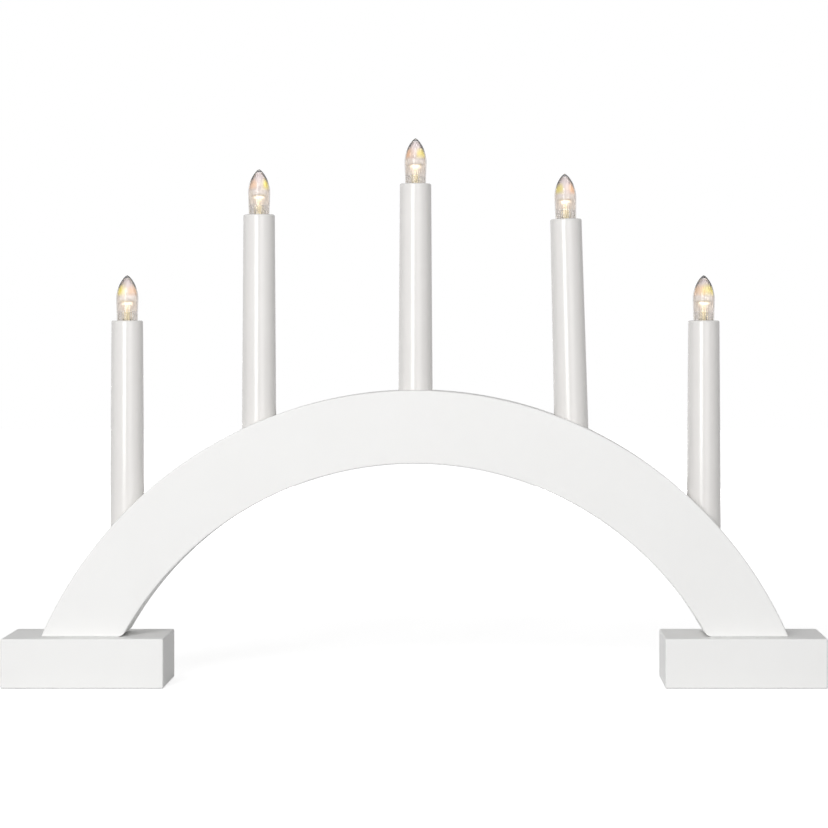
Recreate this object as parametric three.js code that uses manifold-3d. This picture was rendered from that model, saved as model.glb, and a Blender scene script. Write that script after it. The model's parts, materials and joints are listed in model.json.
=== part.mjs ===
// A white electric candle arch: a curved board on two foot blocks, with five candle tubes.
// Each tube holds a screw lampholder with a small pointed lamp. The lamps are wired in series
// through a covered groove on the underside of the arch.
// Millimetres, +Z up, the front faces -Y, and the origin lies under the middle on the table.
import * as THREE from 'three';
import { mergeVertices } from 'three/addons/utils/BufferGeometryUtils.js';
import Module from 'manifold-3d';

const wasm = await Module();
wasm.setup();

// Clearances.
const fitGap = 0.2;
const pushFitGap = 0.3;
const threadClearance = 0.3;
const contactClearance = 0.6;
const wireSideGap = 1.2;
const cutOverrun = 2;

// Feet. A foot's middle lies a little inside the middle of the leg that stands on it.
const footWidth = 81.6;
const footDepth = 50;
const footHeight = 25;
const footInset = 1.5;

// Arch.
const crownHeight = 149.1;
const archRadius = 205;
const bandWidth = 37;
const archThickness = 30;
const archSegments = 20;

// Screws that hold the arch on its feet.
const screwSpacing = 16;
const screwBite = 14;
const screwRadius = 1.9;
const screwHeadRadius = 3.8;
const screwHeadHeight = 2.4;
const screwHeadSink = 1;
const screwPointLength = 4;
const driveSlotLength = 4.4;
const driveSlotWidth = 0.9;
const driveSlotDepth = 1.6;
const screwSides = 10;

// E10 thread.
const threadPitch = 1.814;
const threadMajorRadius = 4.765;
const threadMinorRadius = 4.255;
const threadRowsPerTurn = 4;

// Lampholder, from the thread outwards.
const shellWall = 0.5;
const shellDrop = 1.2;
const shellRelief = 1.6;
const holderWall = 0.735;
const holderDrop = 0.4;
const contactRadius = 2.4;
const contactThickness = 0.6;
const contactStemRadius = 0.9;
const contactStemLength = 5.6;
const wireSocketDepth = 3.8;
const ledgeWidth = 0.6;
const ledgeHeight = 1.6;
const holderSides = 12;

// Lamps.
const bulbRise = 23;
const bulbLength = 32;
const bulbRadius = 5.85;
const bulbBaseRadius = 5.1;
const bulbShoulder = 11.2;
const bulbWall = 0.7;
const bulbTipFullness = 0.32;
const bulbTipDrop = 0.8;
const bulbSides = 14;
const ogiveSteps = 5;
const capLength = 8.4;
const capWall = 0.655;
const capNeck = 1.9;
const capSides = 14;
const insulatorHeight = 0.8;
const insulatorTaper = 1.2;
const tipRadius = 1.6;
const tipHeight = 0.8;
const tipSides = 8;

// Post with the light source inside the lamp. Its heights are above the tube's rim.
const ribCount = 10;
const ribDepth = 0.6;
const ribTop = 7.5;
const postRadius = 1.5;
const postTop = 11.5;
const postFoot = 3.75;

// Candle tubes, and their seats in the arch's upper edge.
const candleEndAngle = THREE.MathUtils.degToRad(21.06);
const leftOuterSeatDepth = 11.2;
const leftInnerSeatDepth = 8.8;
const middleSeatDepth = 13;
const rightInnerSeatDepth = 11;
const rightOuterSeatDepth = 11.2;
const rightInnerLean = THREE.MathUtils.degToRad(-1.5);
const tubeLength = 118;
const tubeWall = 1.2;
const tubeSwell = 0.8;
const tubeRimRounding = 0.6;
const tubeSides = 18;

// Wires, side by side in two lanes of the groove and spread apart in the holes.
const wireRadius = 0.7;
const wireSides = 6;
const wireSpread = 1.7;
const wireLane = 1.3;
const wireBend = 2;
const wireGather = 12;
const bendSteps = 3;
const arcStep = THREE.MathUtils.degToRad(6);
const holeSides = 16;

// Wire groove under the arch, with a wider step for its cover.
const wireHeadroom = 2.6;
const coverLedge = 1.8;
const coverThickness = 1.2;

// Wire way and cord gland in the left foot.
const glandWall = 1;
const glandFlange = 2.6;
const glandFlangeThickness = 2.4;
const glandLength = 12;
const glandSides = 16;
const wireEndInset = 6;

// Arch and feet, worked out from the sizes above.
const archCentreZ = crownHeight - archRadius;
const innerRadius = archRadius - bandWidth;
const legRise = footHeight - archCentreZ;
const legOuterX = Math.sqrt(archRadius ** 2 - legRise ** 2);
const legInnerX = Math.sqrt(innerRadius ** 2 - legRise ** 2);
const legCentreX = (legOuterX + legInnerX) / 2;
const footCentreX = legCentreX - footInset;
const screwLength = footHeight - screwHeadSink + screwBite;
const candleStep = (Math.acos(legRise / archRadius) - candleEndAngle) / 2;

// Groove, wire holes and wire way.
const grooveWidth = 2 * (wireLane + wireRadius + wireSideGap);
const grooveDepth = coverThickness + 2 * wireRadius + wireHeadroom;
const coverWidth = grooveWidth + 2 * coverLedge;
const wireTrackRadius = innerRadius + (coverThickness + grooveDepth + fitGap) / 2;
const wireHoleRadius = Math.hypot(wireSpread, wireLane) + wireRadius + wireSideGap;
const wireWayRadius = wireHoleRadius + pushFitGap;
const wireWayHeight = footHeight / 2;
const wireWayX = -Math.sqrt(wireTrackRadius ** 2 - legRise ** 2) - wireBend / 2;
const glandRadius = wireWayRadius - pushFitGap;
const glandBore = glandRadius - glandWall;
const glandFlangeRadius = glandRadius + glandFlange;

// Radii from the thread out to the seat.
const threadBoreRadius = threadMajorRadius + threadClearance;
const shellRadius = threadBoreRadius + shellWall;
const holderRadius = shellRadius + fitGap + holderWall;
const tubeBoreRadius = Math.max(holderRadius, bulbRadius) + pushFitGap;
const tubeTopRadius = tubeBoreRadius + tubeWall;
const tubeBaseRadius = tubeTopRadius + tubeSwell;
const tubeTaper = tubeSwell / tubeLength;
const seatRadius = tubeBaseRadius + fitGap;
const ledgeRadius = holderRadius - ledgeWidth;
const contactPocketRadius = contactRadius + contactClearance;
const wireBoreRadius = wireRadius + wireSideGap;
const shellWireBore = wireRadius + 2 * fitGap;
const shellWireRadius = shellRadius - shellWireBore;
const capBoreRadius = threadMinorRadius - capWall;
const plugRadius = capBoreRadius - fitGap;
const ribRadius = bulbBaseRadius - bulbWall - pushFitGap;

// Heights in a candle, from the floor of its seat.
const tubeTop = fitGap + tubeLength;
const bulbTop = tubeTop + bulbRise;
const bulbBase = bulbTop - bulbLength;
const capTop = bulbBase - fitGap;
const capBottom = capTop - capLength;
const coreBottom = capBottom - insulatorHeight;
const tipTop = coreBottom - fitGap;
const tipBottom = tipTop - tipHeight;
const contactTop = tipBottom - fitGap;
const contactBottom = contactTop - contactThickness;
const stemBottom = contactBottom - contactStemLength;
const shellUpper = bulbBase - shellDrop;
const shellLower = capBottom - 2 * fitGap;
const shellFloor = shellLower - fitGap;
const pocketFloor = contactBottom - fitGap;
const holderTop = shellUpper - holderDrop;
const holderBottom = stemBottom - wireSocketDepth;
const ledgeTop = holderBottom - fitGap;
const ledgeBottom = ledgeTop - ledgeHeight;
const threadRow = threadPitch / threadRowsPerTurn;

const candleSeats = [
  { place: -2, depth: leftOuterSeatDepth, lean: 0 },
  { place: -1, depth: leftInnerSeatDepth, lean: 0 },
  { place: 0, depth: middleSeatDepth, lean: 0 },
  { place: 1, depth: rightInnerSeatDepth, lean: rightInnerLean },
  { place: 2, depth: rightOuterSeatDepth, lean: 0 },
];
const candles = candleSeats.map(candleAt);

// Finishes.
const finishes = {
  whitePaint: { color: 0xf1f1ef, roughness: 0.45, metalness: 0 },
  whitePlastic: { color: 0xecebe8, roughness: 0.22, metalness: 0 },
  clearPlastic: { color: 0xf4f1e6, roughness: 0.08, metalness: 0 },
  lightPost: { color: 0xffe2a0, roughness: 0.3, metalness: 0 },
  brass: { color: 0xc9a24a, roughness: 0.3, metalness: 1 },
  nickel: { color: 0xc8c6c0, roughness: 0.25, metalness: 1 },
  solder: { color: 0xb9babc, roughness: 0.4, metalness: 1 },
  steel: { color: 0xb4b6b8, roughness: 0.35, metalness: 1 },
  insulation: { color: 0xe9e7e2, roughness: 0.5, metalness: 0 },
};

// The seat of a candle: where its flat floor lies and how the candle leans about it.
function candleAt({ place, depth, lean }) {
  const x = archRadius * Math.sin(place * candleStep);
  const lowLip = archCentreZ + Math.sqrt(archRadius ** 2 - (Math.abs(x) + seatRadius) ** 2);
  const floor = new THREE.Vector3(x, 0, lowLip - depth);
  const frame = new THREE.Matrix4().makeRotationY(lean).setPosition(floor);
  const reach = Math.hypot(floor.x, floor.z - archCentreZ);
  const bearing = Math.atan2(floor.x, floor.z - archCentreZ);
  return { lean, floor, frame, reach, bearing };
}

// A closed mesh as a solid for cutting and joining.
function toSolid(geometry) {
  const bare = geometry.index ? geometry.toNonIndexed() : geometry.clone();
  bare.deleteAttribute('normal');
  bare.deleteAttribute('uv');
  const merged = mergeVertices(bare);
  const corners = merged.index.array;
  const kept = [];
  for (let i = 0; i < corners.length; i += 3) {
    const [a, b, c] = corners.slice(i, i + 3);
    if (a !== b && b !== c && c !== a) kept.push(a, b, c);
  }
  const vertProperties = new Float32Array(merged.attributes.position.array);
  return new wasm.Manifold(new wasm.Mesh({ numProp: 3, vertProperties, triVerts: new Uint32Array(kept) }));
}

function toGeometry(solid) {
  const mesh = solid.getMesh();
  const geometry = new THREE.BufferGeometry();
  geometry.setAttribute('position', new THREE.BufferAttribute(mesh.vertProperties, mesh.numProp));
  geometry.setIndex(new THREE.BufferAttribute(mesh.triVerts, 1));
  geometry.computeVertexNormals();
  return geometry;
}

function cut(body, cutters) {
  let solid = toSolid(body);
  for (const cutter of cutters) solid = solid.subtract(toSolid(cutter));
  return toGeometry(solid);
}

function join(first, others) {
  let solid = toSolid(first);
  for (const other of others) solid = solid.add(toSolid(other));
  return toGeometry(solid);
}

// A profile of [radius, height] pairs turned about the Z axis.
function turned(profile, sides) {
  const points = profile.map(([radius, height]) => new THREE.Vector2(radius, height));
  return new THREE.LatheGeometry(points, sides).rotateX(Math.PI / 2);
}

// A rod on the Z axis between two heights.
function rod(radius, bottom, top, sides) {
  return turned([[0, bottom], [radius, bottom], [radius, top], [0, top]], sides);
}

// A board standing in the XZ plane, centred on Y, from an outline.
function board(outline, thickness) {
  const geometry = new THREE.ExtrudeGeometry(outline, {
    depth: thickness,
    bevelEnabled: false,
    curveSegments: archSegments,
  });
  return geometry.rotateX(Math.PI / 2).translate(0, thickness / 2, 0);
}

// The outline between two circles about the arch's centre, cut off level at a height above it.
function bandOutline(inner, outer, cutHeight) {
  const outerEnd = Math.asin(cutHeight / outer);
  const innerEnd = Math.asin(cutHeight / inner);
  const outline = new THREE.Shape();
  outline.absarc(0, archCentreZ, outer, outerEnd, Math.PI - outerEnd, false);
  outline.absarc(0, archCentreZ, inner, Math.PI - innerEnd, innerEnd, true);
  outline.closePath();
  return outline;
}

// Rings of points about the Z axis, each joined to the next and the last to the first.
// A ring's radius may change with the angle, which is how a thread is made.
function ringLoop(rings, sides) {
  const positions = [];
  const index = [];
  rings.forEach(({ height, radiusAt }, ring) => {
    for (let side = 0; side < sides; side += 1) {
      const angle = (side / sides) * 2 * Math.PI;
      const radius = radiusAt(angle);
      positions.push(radius * Math.cos(angle), radius * Math.sin(angle), height);
      const next = (side + 1) % sides;
      const here = ring * sides;
      const above = ((ring + 1) % rings.length) * sides;
      index.push(here + side, here + next, above + next);
      index.push(here + side, above + next, above + side);
    }
  });
  const geometry = new THREE.BufferGeometry();
  geometry.setAttribute('position', new THREE.Float32BufferAttribute(positions, 3));
  geometry.setIndex(index);
  return geometry;
}

const plainRing = (height, radius) => ({ height, radiusAt: () => radius });

// A ring of the rounded E10 thread. The fullness runs from 0, the root circle, to 1, the full crest.
function threadRing(height, clearance, fullness) {
  const swing = (fullness * (threadMajorRadius - threadMinorRadius)) / 2;
  const radiusAt = (angle) => {
    const phase = (2 * Math.PI * (height - capBottom)) / threadPitch - angle;
    return threadMinorRadius + clearance + swing * (1 + Math.cos(phase));
  };
  return { height, radiusAt };
}

// A tube along a row of points, with one section at each point.
class PointRoute extends THREE.Curve {
  constructor(points) {
    super();
    this.points = points;
  }

  getPoint(t, target = new THREE.Vector3()) {
    const last = this.points.length - 1;
    const place = t * last;
    const before = Math.min(Math.floor(place), last - 1);
    return target.lerpVectors(this.points[before], this.points[before + 1], place - before);
  }

  getPointAt(u, target) {
    return this.getPoint(u, target);
  }

  getTangentAt(u, target = new THREE.Vector3()) {
    const last = this.points.length - 1;
    const here = Math.round(u * last);
    const before = this.points[Math.max(here - 1, 0)];
    const after = this.points[Math.min(here + 1, last)];
    return target.subVectors(after, before).normalize();
  }
}

function wireAlong(points) {
  const section = new THREE.Shape();
  for (let side = 0; side < wireSides; side += 1) {
    const angle = (side / wireSides) * 2 * Math.PI;
    const corner = [wireRadius * Math.cos(angle), wireRadius * Math.sin(angle)];
    if (side === 0) section.moveTo(...corner);
    else section.lineTo(...corner);
  }
  section.closePath();
  const extrudePath = new PointRoute(points);
  return new THREE.ExtrudeGeometry(section, { steps: points.length - 1, extrudePath });
}

function buildArch() {
  const body = board(bandOutline(innerRadius, archRadius, legRise), archThickness);
  const below = legRise - cutOverrun;
  const grooveFloor = innerRadius + grooveDepth;
  const stepFloor = innerRadius + coverThickness + fitGap;
  const groove = board(bandOutline(innerRadius - cutOverrun, grooveFloor, below), grooveWidth);
  const step = board(bandOutline(innerRadius - cutOverrun, stepFloor, below), coverWidth + 2 * fitGap);
  const cutters = [groove, step];
  for (const candle of candles) {
    const seat = rod(seatRadius, 0, archRadius, tubeSides);
    cutters.push(seat.applyMatrix4(candle.frame));
    const holeTop = candle.reach + fitGap + wireHoleRadius * Math.tan(Math.abs(candle.bearing));
    const hole = rod(wireHoleRadius, innerRadius + coverThickness, holeTop, holeSides);
    cutters.push(hole.rotateY(candle.bearing).translate(0, 0, archCentreZ));
  }
  for (const [x, y] of screwPlaces()) {
    const top = screwHeadSink + screwLength + fitGap;
    cutters.push(rod(screwRadius + fitGap, footHeight - cutOverrun, top, screwSides).translate(x, y, 0));
  }
  return cut(body, cutters);
}

function buildGrooveCover() {
  const rise = legRise + fitGap;
  return board(bandOutline(innerRadius, innerRadius + coverThickness, rise), coverWidth);
}

function screwPlaces() {
  const places = [];
  for (const x of [-legCentreX, legCentreX]) {
    for (const y of [-screwSpacing / 2, screwSpacing / 2]) places.push([x, y]);
  }
  return places;
}

// The clearance hole and countersink for one screw, from below.
function screwHole(x, y) {
  const headTop = screwHeadSink + screwHeadHeight;
  const hole = [
    [0, -cutOverrun],
    [screwHeadRadius + fitGap, -cutOverrun],
    [screwHeadRadius + fitGap, screwHeadSink + fitGap],
    [screwRadius + fitGap, headTop + fitGap],
    [screwRadius + fitGap, footHeight + cutOverrun],
    [0, footHeight + cutOverrun],
  ];
  return turned(hole, screwSides).translate(x, y, 0);
}

function buildFoot(side) {
  const body = new THREE.BoxGeometry(footWidth, footDepth, footHeight);
  body.translate(side * footCentreX, 0, footHeight / 2);
  const cutters = [];
  for (const [x, y] of screwPlaces()) {
    if (Math.sign(x) === side) cutters.push(screwHole(x, y));
  }
  if (side < 0) cutters.push(...wireWay());
  return cut(body, cutters);
}

// The bent wire way from the top of the left foot to the gland in its back.
function wireWay() {
  const back = footDepth / 2;
  const down = rod(wireWayRadius, wireWayHeight - wireWayRadius, footHeight + cutOverrun, holeSides);
  const out = rod(wireWayRadius, -wireWayRadius, back + cutOverrun, holeSides);
  const flangeRoom = glandFlangeThickness + fitGap;
  const flange = rod(glandFlangeRadius + fitGap, back - flangeRoom, back + cutOverrun, glandSides);
  down.translate(wireWayX, 0, 0);
  out.rotateX(-Math.PI / 2).translate(wireWayX, 0, wireWayHeight);
  flange.rotateX(-Math.PI / 2).translate(wireWayX, 0, wireWayHeight);
  return [down, out, flange];
}

// The gland lies in the back of the left foot, flush with it.
function buildGland() {
  const inner = glandFlangeThickness - glandLength;
  const profile = [
    [glandBore, inner],
    [glandRadius, inner],
    [glandRadius, 0],
    [glandFlangeRadius, 0],
    [glandFlangeRadius, glandFlangeThickness],
    [glandBore, glandFlangeThickness],
    [glandBore, inner],
  ];
  const gland = turned(profile, glandSides).rotateX(-Math.PI / 2);
  return gland.translate(wireWayX, footDepth / 2 - glandFlangeThickness, wireWayHeight);
}

function buildScrew(x, y) {
  const profile = [
    [0, 0],
    [screwHeadRadius, 0],
    [screwRadius, screwHeadHeight],
    [screwRadius, screwLength - screwPointLength],
    [0, screwLength],
  ];
  const slot = new THREE.BoxGeometry(driveSlotLength, driveSlotWidth, 2 * driveSlotDepth);
  const crossSlot = slot.clone().rotateZ(Math.PI / 2);
  return cut(turned(profile, screwSides), [slot, crossSlot]).translate(x, y, screwHeadSink);
}

// A candle sleeve: tapered, open at both ends, with a ledge inside for the lampholder.
function buildTube() {
  const boreAt = (height) => tubeBoreRadius + (tubeTop - height) * tubeTaper;
  const profile = [
    [boreAt(fitGap), fitGap],
    [tubeBaseRadius, fitGap],
    [tubeTopRadius + tubeRimRounding * tubeTaper, tubeTop - tubeRimRounding],
    [tubeTopRadius - tubeRimRounding, tubeTop],
    [boreAt(tubeTop), tubeTop],
    [boreAt(ledgeTop), ledgeTop],
    [ledgeRadius, ledgeTop],
    [ledgeRadius, ledgeBottom],
    [boreAt(ledgeBottom), ledgeBottom],
    [boreAt(fitGap), fitGap],
  ];
  return turned(profile, tubeSides);
}

function buildHolder() {
  const shellBore = shellRadius + fitGap;
  const stemHole = contactStemRadius + fitGap;
  const profile = [
    [wireBoreRadius, holderBottom],
    [holderRadius, holderBottom],
    [holderRadius, holderTop],
    [shellBore, holderTop],
    [shellBore, shellFloor],
    [contactPocketRadius, shellFloor],
    [contactPocketRadius, pocketFloor],
    [stemHole, pocketFloor],
    [stemHole, stemBottom],
    [wireBoreRadius, stemBottom],
    [wireBoreRadius, holderBottom],
  ];
  const wireHole = rod(shellWireBore, holderBottom - cutOverrun, shellFloor + cutOverrun, wireSides);
  return cut(turned(profile, holderSides), [wireHole.translate(-shellWireRadius, 0, 0)]);
}

// The holder's threaded sleeve. The thread inside starts at its mouth and ends in a plain relief.
function buildShell() {
  const rings = [plainRing(shellLower, shellRadius), plainRing(shellUpper, shellRadius)];
  const rows = Math.floor((shellUpper - shellLower - shellRelief) / threadRow);
  for (let row = 0; row <= rows; row += 1) {
    rings.push(threadRing(shellUpper - row * threadRow, threadClearance, 1));
  }
  const reliefTop = shellUpper - (rows + 1) * threadRow;
  rings.push(plainRing(reliefTop, threadBoreRadius), plainRing(shellLower, threadBoreRadius));
  return ringLoop(rings, capSides);
}

function buildContact() {
  const profile = [
    [0, stemBottom],
    [contactStemRadius, stemBottom],
    [contactStemRadius, contactBottom],
    [contactRadius, contactBottom],
    [contactRadius, contactTop],
    [0, contactTop],
  ];
  return turned(profile, tipSides);
}

// The lamp's threaded cap, open at both ends. The thread runs out at its two ends.
function buildCap() {
  const rings = [plainRing(capBottom, capBoreRadius), plainRing(capBottom, threadMinorRadius)];
  const rows = Math.floor((shellUpper - capBottom - capNeck) / threadRow) - 1;
  for (let row = 0; row <= rows; row += 1) {
    const fromEnd = Math.min(row, rows - row) / threadRowsPerTurn;
    rings.push(threadRing(capBottom + (row + 1) * threadRow, 0, Math.min(1, 2 * fromEnd)));
  }
  rings.push(plainRing(shellUpper + fitGap, threadMinorRadius));
  rings.push(plainRing(capTop, threadMajorRadius), plainRing(capTop, capBoreRadius));
  return ringLoop(rings, capSides);
}

// The clear body: a pointed arc down to its widest place, then a slight taper to its open base.
function buildEnvelope() {
  const waist = bulbTop - bulbShoulder;
  const ogive = (radius, top, steps) => {
    const rise = top - waist;
    const start = new THREE.Vector2(radius, waist);
    const low = new THREE.Vector2(radius, waist + rise / 2);
    const high = new THREE.Vector2(bulbTipFullness * radius, top - bulbTipDrop);
    const tip = new THREE.Vector2(0, top);
    return new THREE.CubicBezierCurve(start, low, high, tip).getPoints(steps);
  };
  const outer = ogive(bulbRadius, bulbTop, ogiveSteps).map((point) => [point.x, point.y]);
  const innerTop = bulbTop - 2 * bulbWall;
  const inner = ogive(bulbRadius - bulbWall, innerTop, ogiveSteps - 1).map((point) => [point.x, point.y]);
  const profile = [
    ...inner.reverse(),
    [bulbBaseRadius - bulbWall, bulbBase],
    [bulbBaseRadius, bulbBase],
    ...outer,
  ];
  return turned(profile, bulbSides);
}

// The post in the lamp: a plug in the cap, a ribbed collar and the stem with the light source.
function buildCore() {
  const ribBottom = bulbBase + fitGap;
  const plug = turned([
    [0, coreBottom],
    [plugRadius - insulatorTaper, coreBottom],
    [plugRadius, capBottom],
    [plugRadius, ribBottom + fitGap],
    [0, ribBottom + fitGap],
  ], bulbSides);
  const star = new THREE.Shape();
  for (let corner = 0; corner < 2 * ribCount; corner += 1) {
    const angle = (corner / ribCount) * Math.PI;
    const radius = corner % 2 === 0 ? ribRadius : ribRadius - ribDepth;
    const point = [radius * Math.cos(angle), radius * Math.sin(angle)];
    if (corner === 0) star.moveTo(...point);
    else star.lineTo(...point);
  }
  star.closePath();
  const collarTop = tubeTop + ribTop;
  const collar = new THREE.ExtrudeGeometry(star, { depth: collarTop - ribBottom, bevelEnabled: false });
  collar.translate(0, 0, ribBottom);
  const stemTop = tubeTop + postTop;
  const stem = turned([
    [0, tubeTop + postFoot],
    [postRadius, tubeTop + postFoot],
    [postRadius, stemTop],
    [0, stemTop + postRadius],
  ], tipSides);
  return join(plug, [collar, stem]);
}

function buildTip() {
  const profile = [
    [0, tipBottom],
    [tipRadius / 2, tipBottom],
    [tipRadius, tipTop - tipHeight / 2],
    [tipRadius, tipTop],
    [0, tipTop],
  ];
  return turned(profile, tipSides);
}

// A point of the wire groove's track, or above it in a hole square to the groove.
// The bearing is from straight up, the shift runs along the groove and the lane across it.
function trackPoint(bearing, shift, radius, lane) {
  const x = radius * Math.sin(bearing) + shift * Math.cos(bearing);
  const z = archCentreZ + radius * Math.cos(bearing) - shift * Math.sin(bearing);
  return new THREE.Vector3(x, lane, z);
}

// The bend from the groove into a hole, beginning in the groove. The groove runs off to the given side.
function bendIntoHole(candle, spread, lane, side) {
  const points = [];
  for (let step = 0; step <= bendSteps; step += 1) {
    const turn = (step / bendSteps) * (Math.PI / 2);
    const shift = spread + side * wireBend * (1 - Math.sin(turn));
    const radius = wireTrackRadius + wireBend * (1 - Math.cos(turn));
    points.push(trackPoint(candle.bearing, shift, radius, lane));
  }
  return points;
}

// The rise from a hole's foot through the seat floor and up the tube to a terminal in the holder.
function riseTo(candle, spread, lane, terminal) {
  const local = (x, y, z) => new THREE.Vector3(x, y, z).applyMatrix4(candle.frame);
  const bottom = ledgeBottom - wireGather;
  const holeTop = candle.reach - 2 * wireBend;
  return [
    trackPoint(candle.bearing, spread, holeTop, lane),
    local(spread, lane, wireBend),
    local(spread, lane, bottom),
    local(terminal.x, 0, ledgeBottom),
    local(terminal.x, 0, terminal.top),
  ];
}

const contactTerminal = { x: 0, top: stemBottom - fitGap };
const shellTerminal = { x: -shellWireRadius, top: shellLower - fitGap };

// Points along the groove, between two bearings and not at its ends.
function trackBetween(from, to, lane) {
  const steps = Math.max(2, Math.ceil(Math.abs(to - from) / arcStep));
  const points = [];
  for (let step = 1; step < steps; step += 1) {
    points.push(trackPoint(from + ((to - from) * step) / steps, 0, wireTrackRadius, lane));
  }
  return points;
}

// From a terminal in one candle through the groove to a terminal in the next.
function linkWire(first, second) {
  const down = [
    ...bendIntoHole(first, wireSpread, -wireLane, 1),
    ...riseTo(first, wireSpread, -wireLane, contactTerminal),
  ].reverse();
  const margin = (wireSpread + wireBend) / wireTrackRadius;
  const across = trackBetween(first.bearing + margin, second.bearing - margin, -wireLane);
  const up = [
    ...bendIntoHole(second, -wireSpread, -wireLane, -1),
    ...riseTo(second, -wireSpread, -wireLane, shellTerminal),
  ];
  return wireAlong([...down, ...across, ...up]);
}

// From the gland, through the left foot to the groove's lower end. The height is that of the lower run.
function fromGland(lane) {
  const height = wireWayHeight + lane;
  const points = [new THREE.Vector3(wireWayX, footDepth / 2 - wireEndInset, height)];
  for (let step = 0; step <= bendSteps; step += 1) {
    const turn = (step / bendSteps) * (Math.PI / 2);
    const y = lane + wireBend * (1 - Math.sin(turn));
    points.push(new THREE.Vector3(wireWayX, y, height + wireBend * (1 - Math.cos(turn))));
  }
  points.push(new THREE.Vector3(wireWayX, lane, footHeight - wireBend));
  return points;
}

const footBearing = -Math.acos((legRise + wireBend) / wireTrackRadius);

function buildFeedWire() {
  const first = candles[0];
  const margin = (wireSpread + wireBend) / wireTrackRadius;
  return wireAlong([
    ...fromGland(-wireLane),
    trackPoint(footBearing, 0, wireTrackRadius, -wireLane),
    ...trackBetween(footBearing, first.bearing - margin, -wireLane),
    ...bendIntoHole(first, -wireSpread, -wireLane, -1),
    ...riseTo(first, -wireSpread, -wireLane, shellTerminal),
  ]);
}

function buildReturnWire() {
  const last = candles[candles.length - 1];
  const margin = (wireBend - wireSpread) / wireTrackRadius;
  return wireAlong([
    ...fromGland(wireLane),
    trackPoint(footBearing, 0, wireTrackRadius, wireLane),
    ...trackBetween(footBearing, last.bearing - margin, wireLane),
    ...bendIntoHole(last, wireSpread, wireLane, -1),
    ...riseTo(last, wireSpread, wireLane, contactTerminal),
  ]);
}

const candleArch = new THREE.Group();

function addPiece(parent, name, geometry, finish) {
  const piece = new THREE.Mesh(geometry, new THREE.MeshStandardMaterial(finish));
  piece.name = name;
  parent.add(piece);
}

addPiece(candleArch, 'arch', buildArch(), finishes.whitePaint);
addPiece(candleArch, 'groove_cover', buildGrooveCover(), finishes.whitePlastic);
addPiece(candleArch, 'foot_left', buildFoot(-1), finishes.whitePaint);
addPiece(candleArch, 'foot_right', buildFoot(1), finishes.whitePaint);
addPiece(candleArch, 'cord_gland', buildGland(), finishes.whitePlastic);
screwPlaces().forEach(([x, y], place) => {
  addPiece(candleArch, `foot_screw_${place + 1}`, buildScrew(x, y), finishes.steel);
});

candles.forEach((candle, place) => {
  const group = new THREE.Group();
  group.position.copy(candle.floor);
  group.rotation.y = candle.lean;
  const number = place + 1;
  addPiece(group, `candle_tube_${number}`, buildTube(), finishes.whitePlastic);
  addPiece(group, `lamp_holder_${number}`, buildHolder(), finishes.whitePlastic);
  addPiece(group, `screw_shell_${number}`, buildShell(), finishes.brass);
  addPiece(group, `centre_contact_${number}`, buildContact(), finishes.brass);
  addPiece(group, `bulb_cap_${number}`, buildCap(), finishes.nickel);
  addPiece(group, `bulb_envelope_${number}`, buildEnvelope(), finishes.clearPlastic);
  addPiece(group, `bulb_core_${number}`, buildCore(), finishes.lightPost);
  addPiece(group, `bulb_tip_${number}`, buildTip(), finishes.solder);
  candleArch.add(group);
});

addPiece(candleArch, 'feed_wire', buildFeedWire(), finishes.insulation);
for (let place = 0; place < candles.length - 1; place += 1) {
  const link = linkWire(candles[place], candles[place + 1]);
  addPiece(candleArch, `link_wire_${place + 1}`, link, finishes.insulation);
}
addPiece(candleArch, 'return_wire', buildReturnWire(), finishes.insulation);

export default candleArch;
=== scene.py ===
"""Dresses a white electric candle arch: painted boards, glossy candle tubes and lit screw lamps."""
import json
import logging
import math
from collections.abc import Callable, Sequence
from dataclasses import dataclass
from enum import Enum

import bmesh
import bpy
from mathutils import Matrix, Vector


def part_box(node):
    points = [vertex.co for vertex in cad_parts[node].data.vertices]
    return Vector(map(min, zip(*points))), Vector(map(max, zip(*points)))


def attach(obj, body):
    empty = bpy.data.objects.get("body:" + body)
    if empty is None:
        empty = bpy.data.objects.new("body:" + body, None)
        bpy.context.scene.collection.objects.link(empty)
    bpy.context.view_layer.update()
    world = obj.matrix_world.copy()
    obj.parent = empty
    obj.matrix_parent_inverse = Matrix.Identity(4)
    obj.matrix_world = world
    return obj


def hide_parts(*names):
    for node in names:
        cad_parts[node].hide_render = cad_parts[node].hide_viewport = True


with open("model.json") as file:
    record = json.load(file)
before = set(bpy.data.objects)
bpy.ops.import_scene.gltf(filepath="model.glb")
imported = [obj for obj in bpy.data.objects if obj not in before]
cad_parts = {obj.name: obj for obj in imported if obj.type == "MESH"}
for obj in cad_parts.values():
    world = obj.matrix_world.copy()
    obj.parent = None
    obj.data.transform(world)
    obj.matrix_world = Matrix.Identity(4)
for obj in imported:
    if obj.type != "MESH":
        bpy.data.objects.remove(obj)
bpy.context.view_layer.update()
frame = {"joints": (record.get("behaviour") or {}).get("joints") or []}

LOG = logging.getLogger("candle_arch")

MM = 0.001
WELD = 0.001 * MM
STAND = "stand"
OWN_PLACE = "own_place"
CLOUD_SHARE = 0.93
ACROSS = (1.0, 1.0, 0.0)
BACKWARDS = Matrix.Rotation(-math.pi / 2, 4, "X")

Triple = tuple[float, float, float]
Colour = Triple
Profile = list[tuple[float, float]]
Route = list[Vector]


class Slot(Enum):
    """The record's material slots."""

    WHITE_PAINT = "white_paint"
    COVER_PLASTIC = "cover_plastic"
    TUBE_PLASTIC = "tube_plastic"
    HOLDER_PLASTIC = "holder_plastic"
    CONTACT_BRASS = "contact_brass"
    CAP_NICKEL = "cap_nickel"
    CLEAR_ENVELOPE = "clear_envelope"
    LIT_CORE = "lit_core"
    TIP_SOLDER = "tip_solder"
    SCREW_STEEL = "screw_steel"
    WIRE_INSULATION = "wire_insulation"


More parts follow.
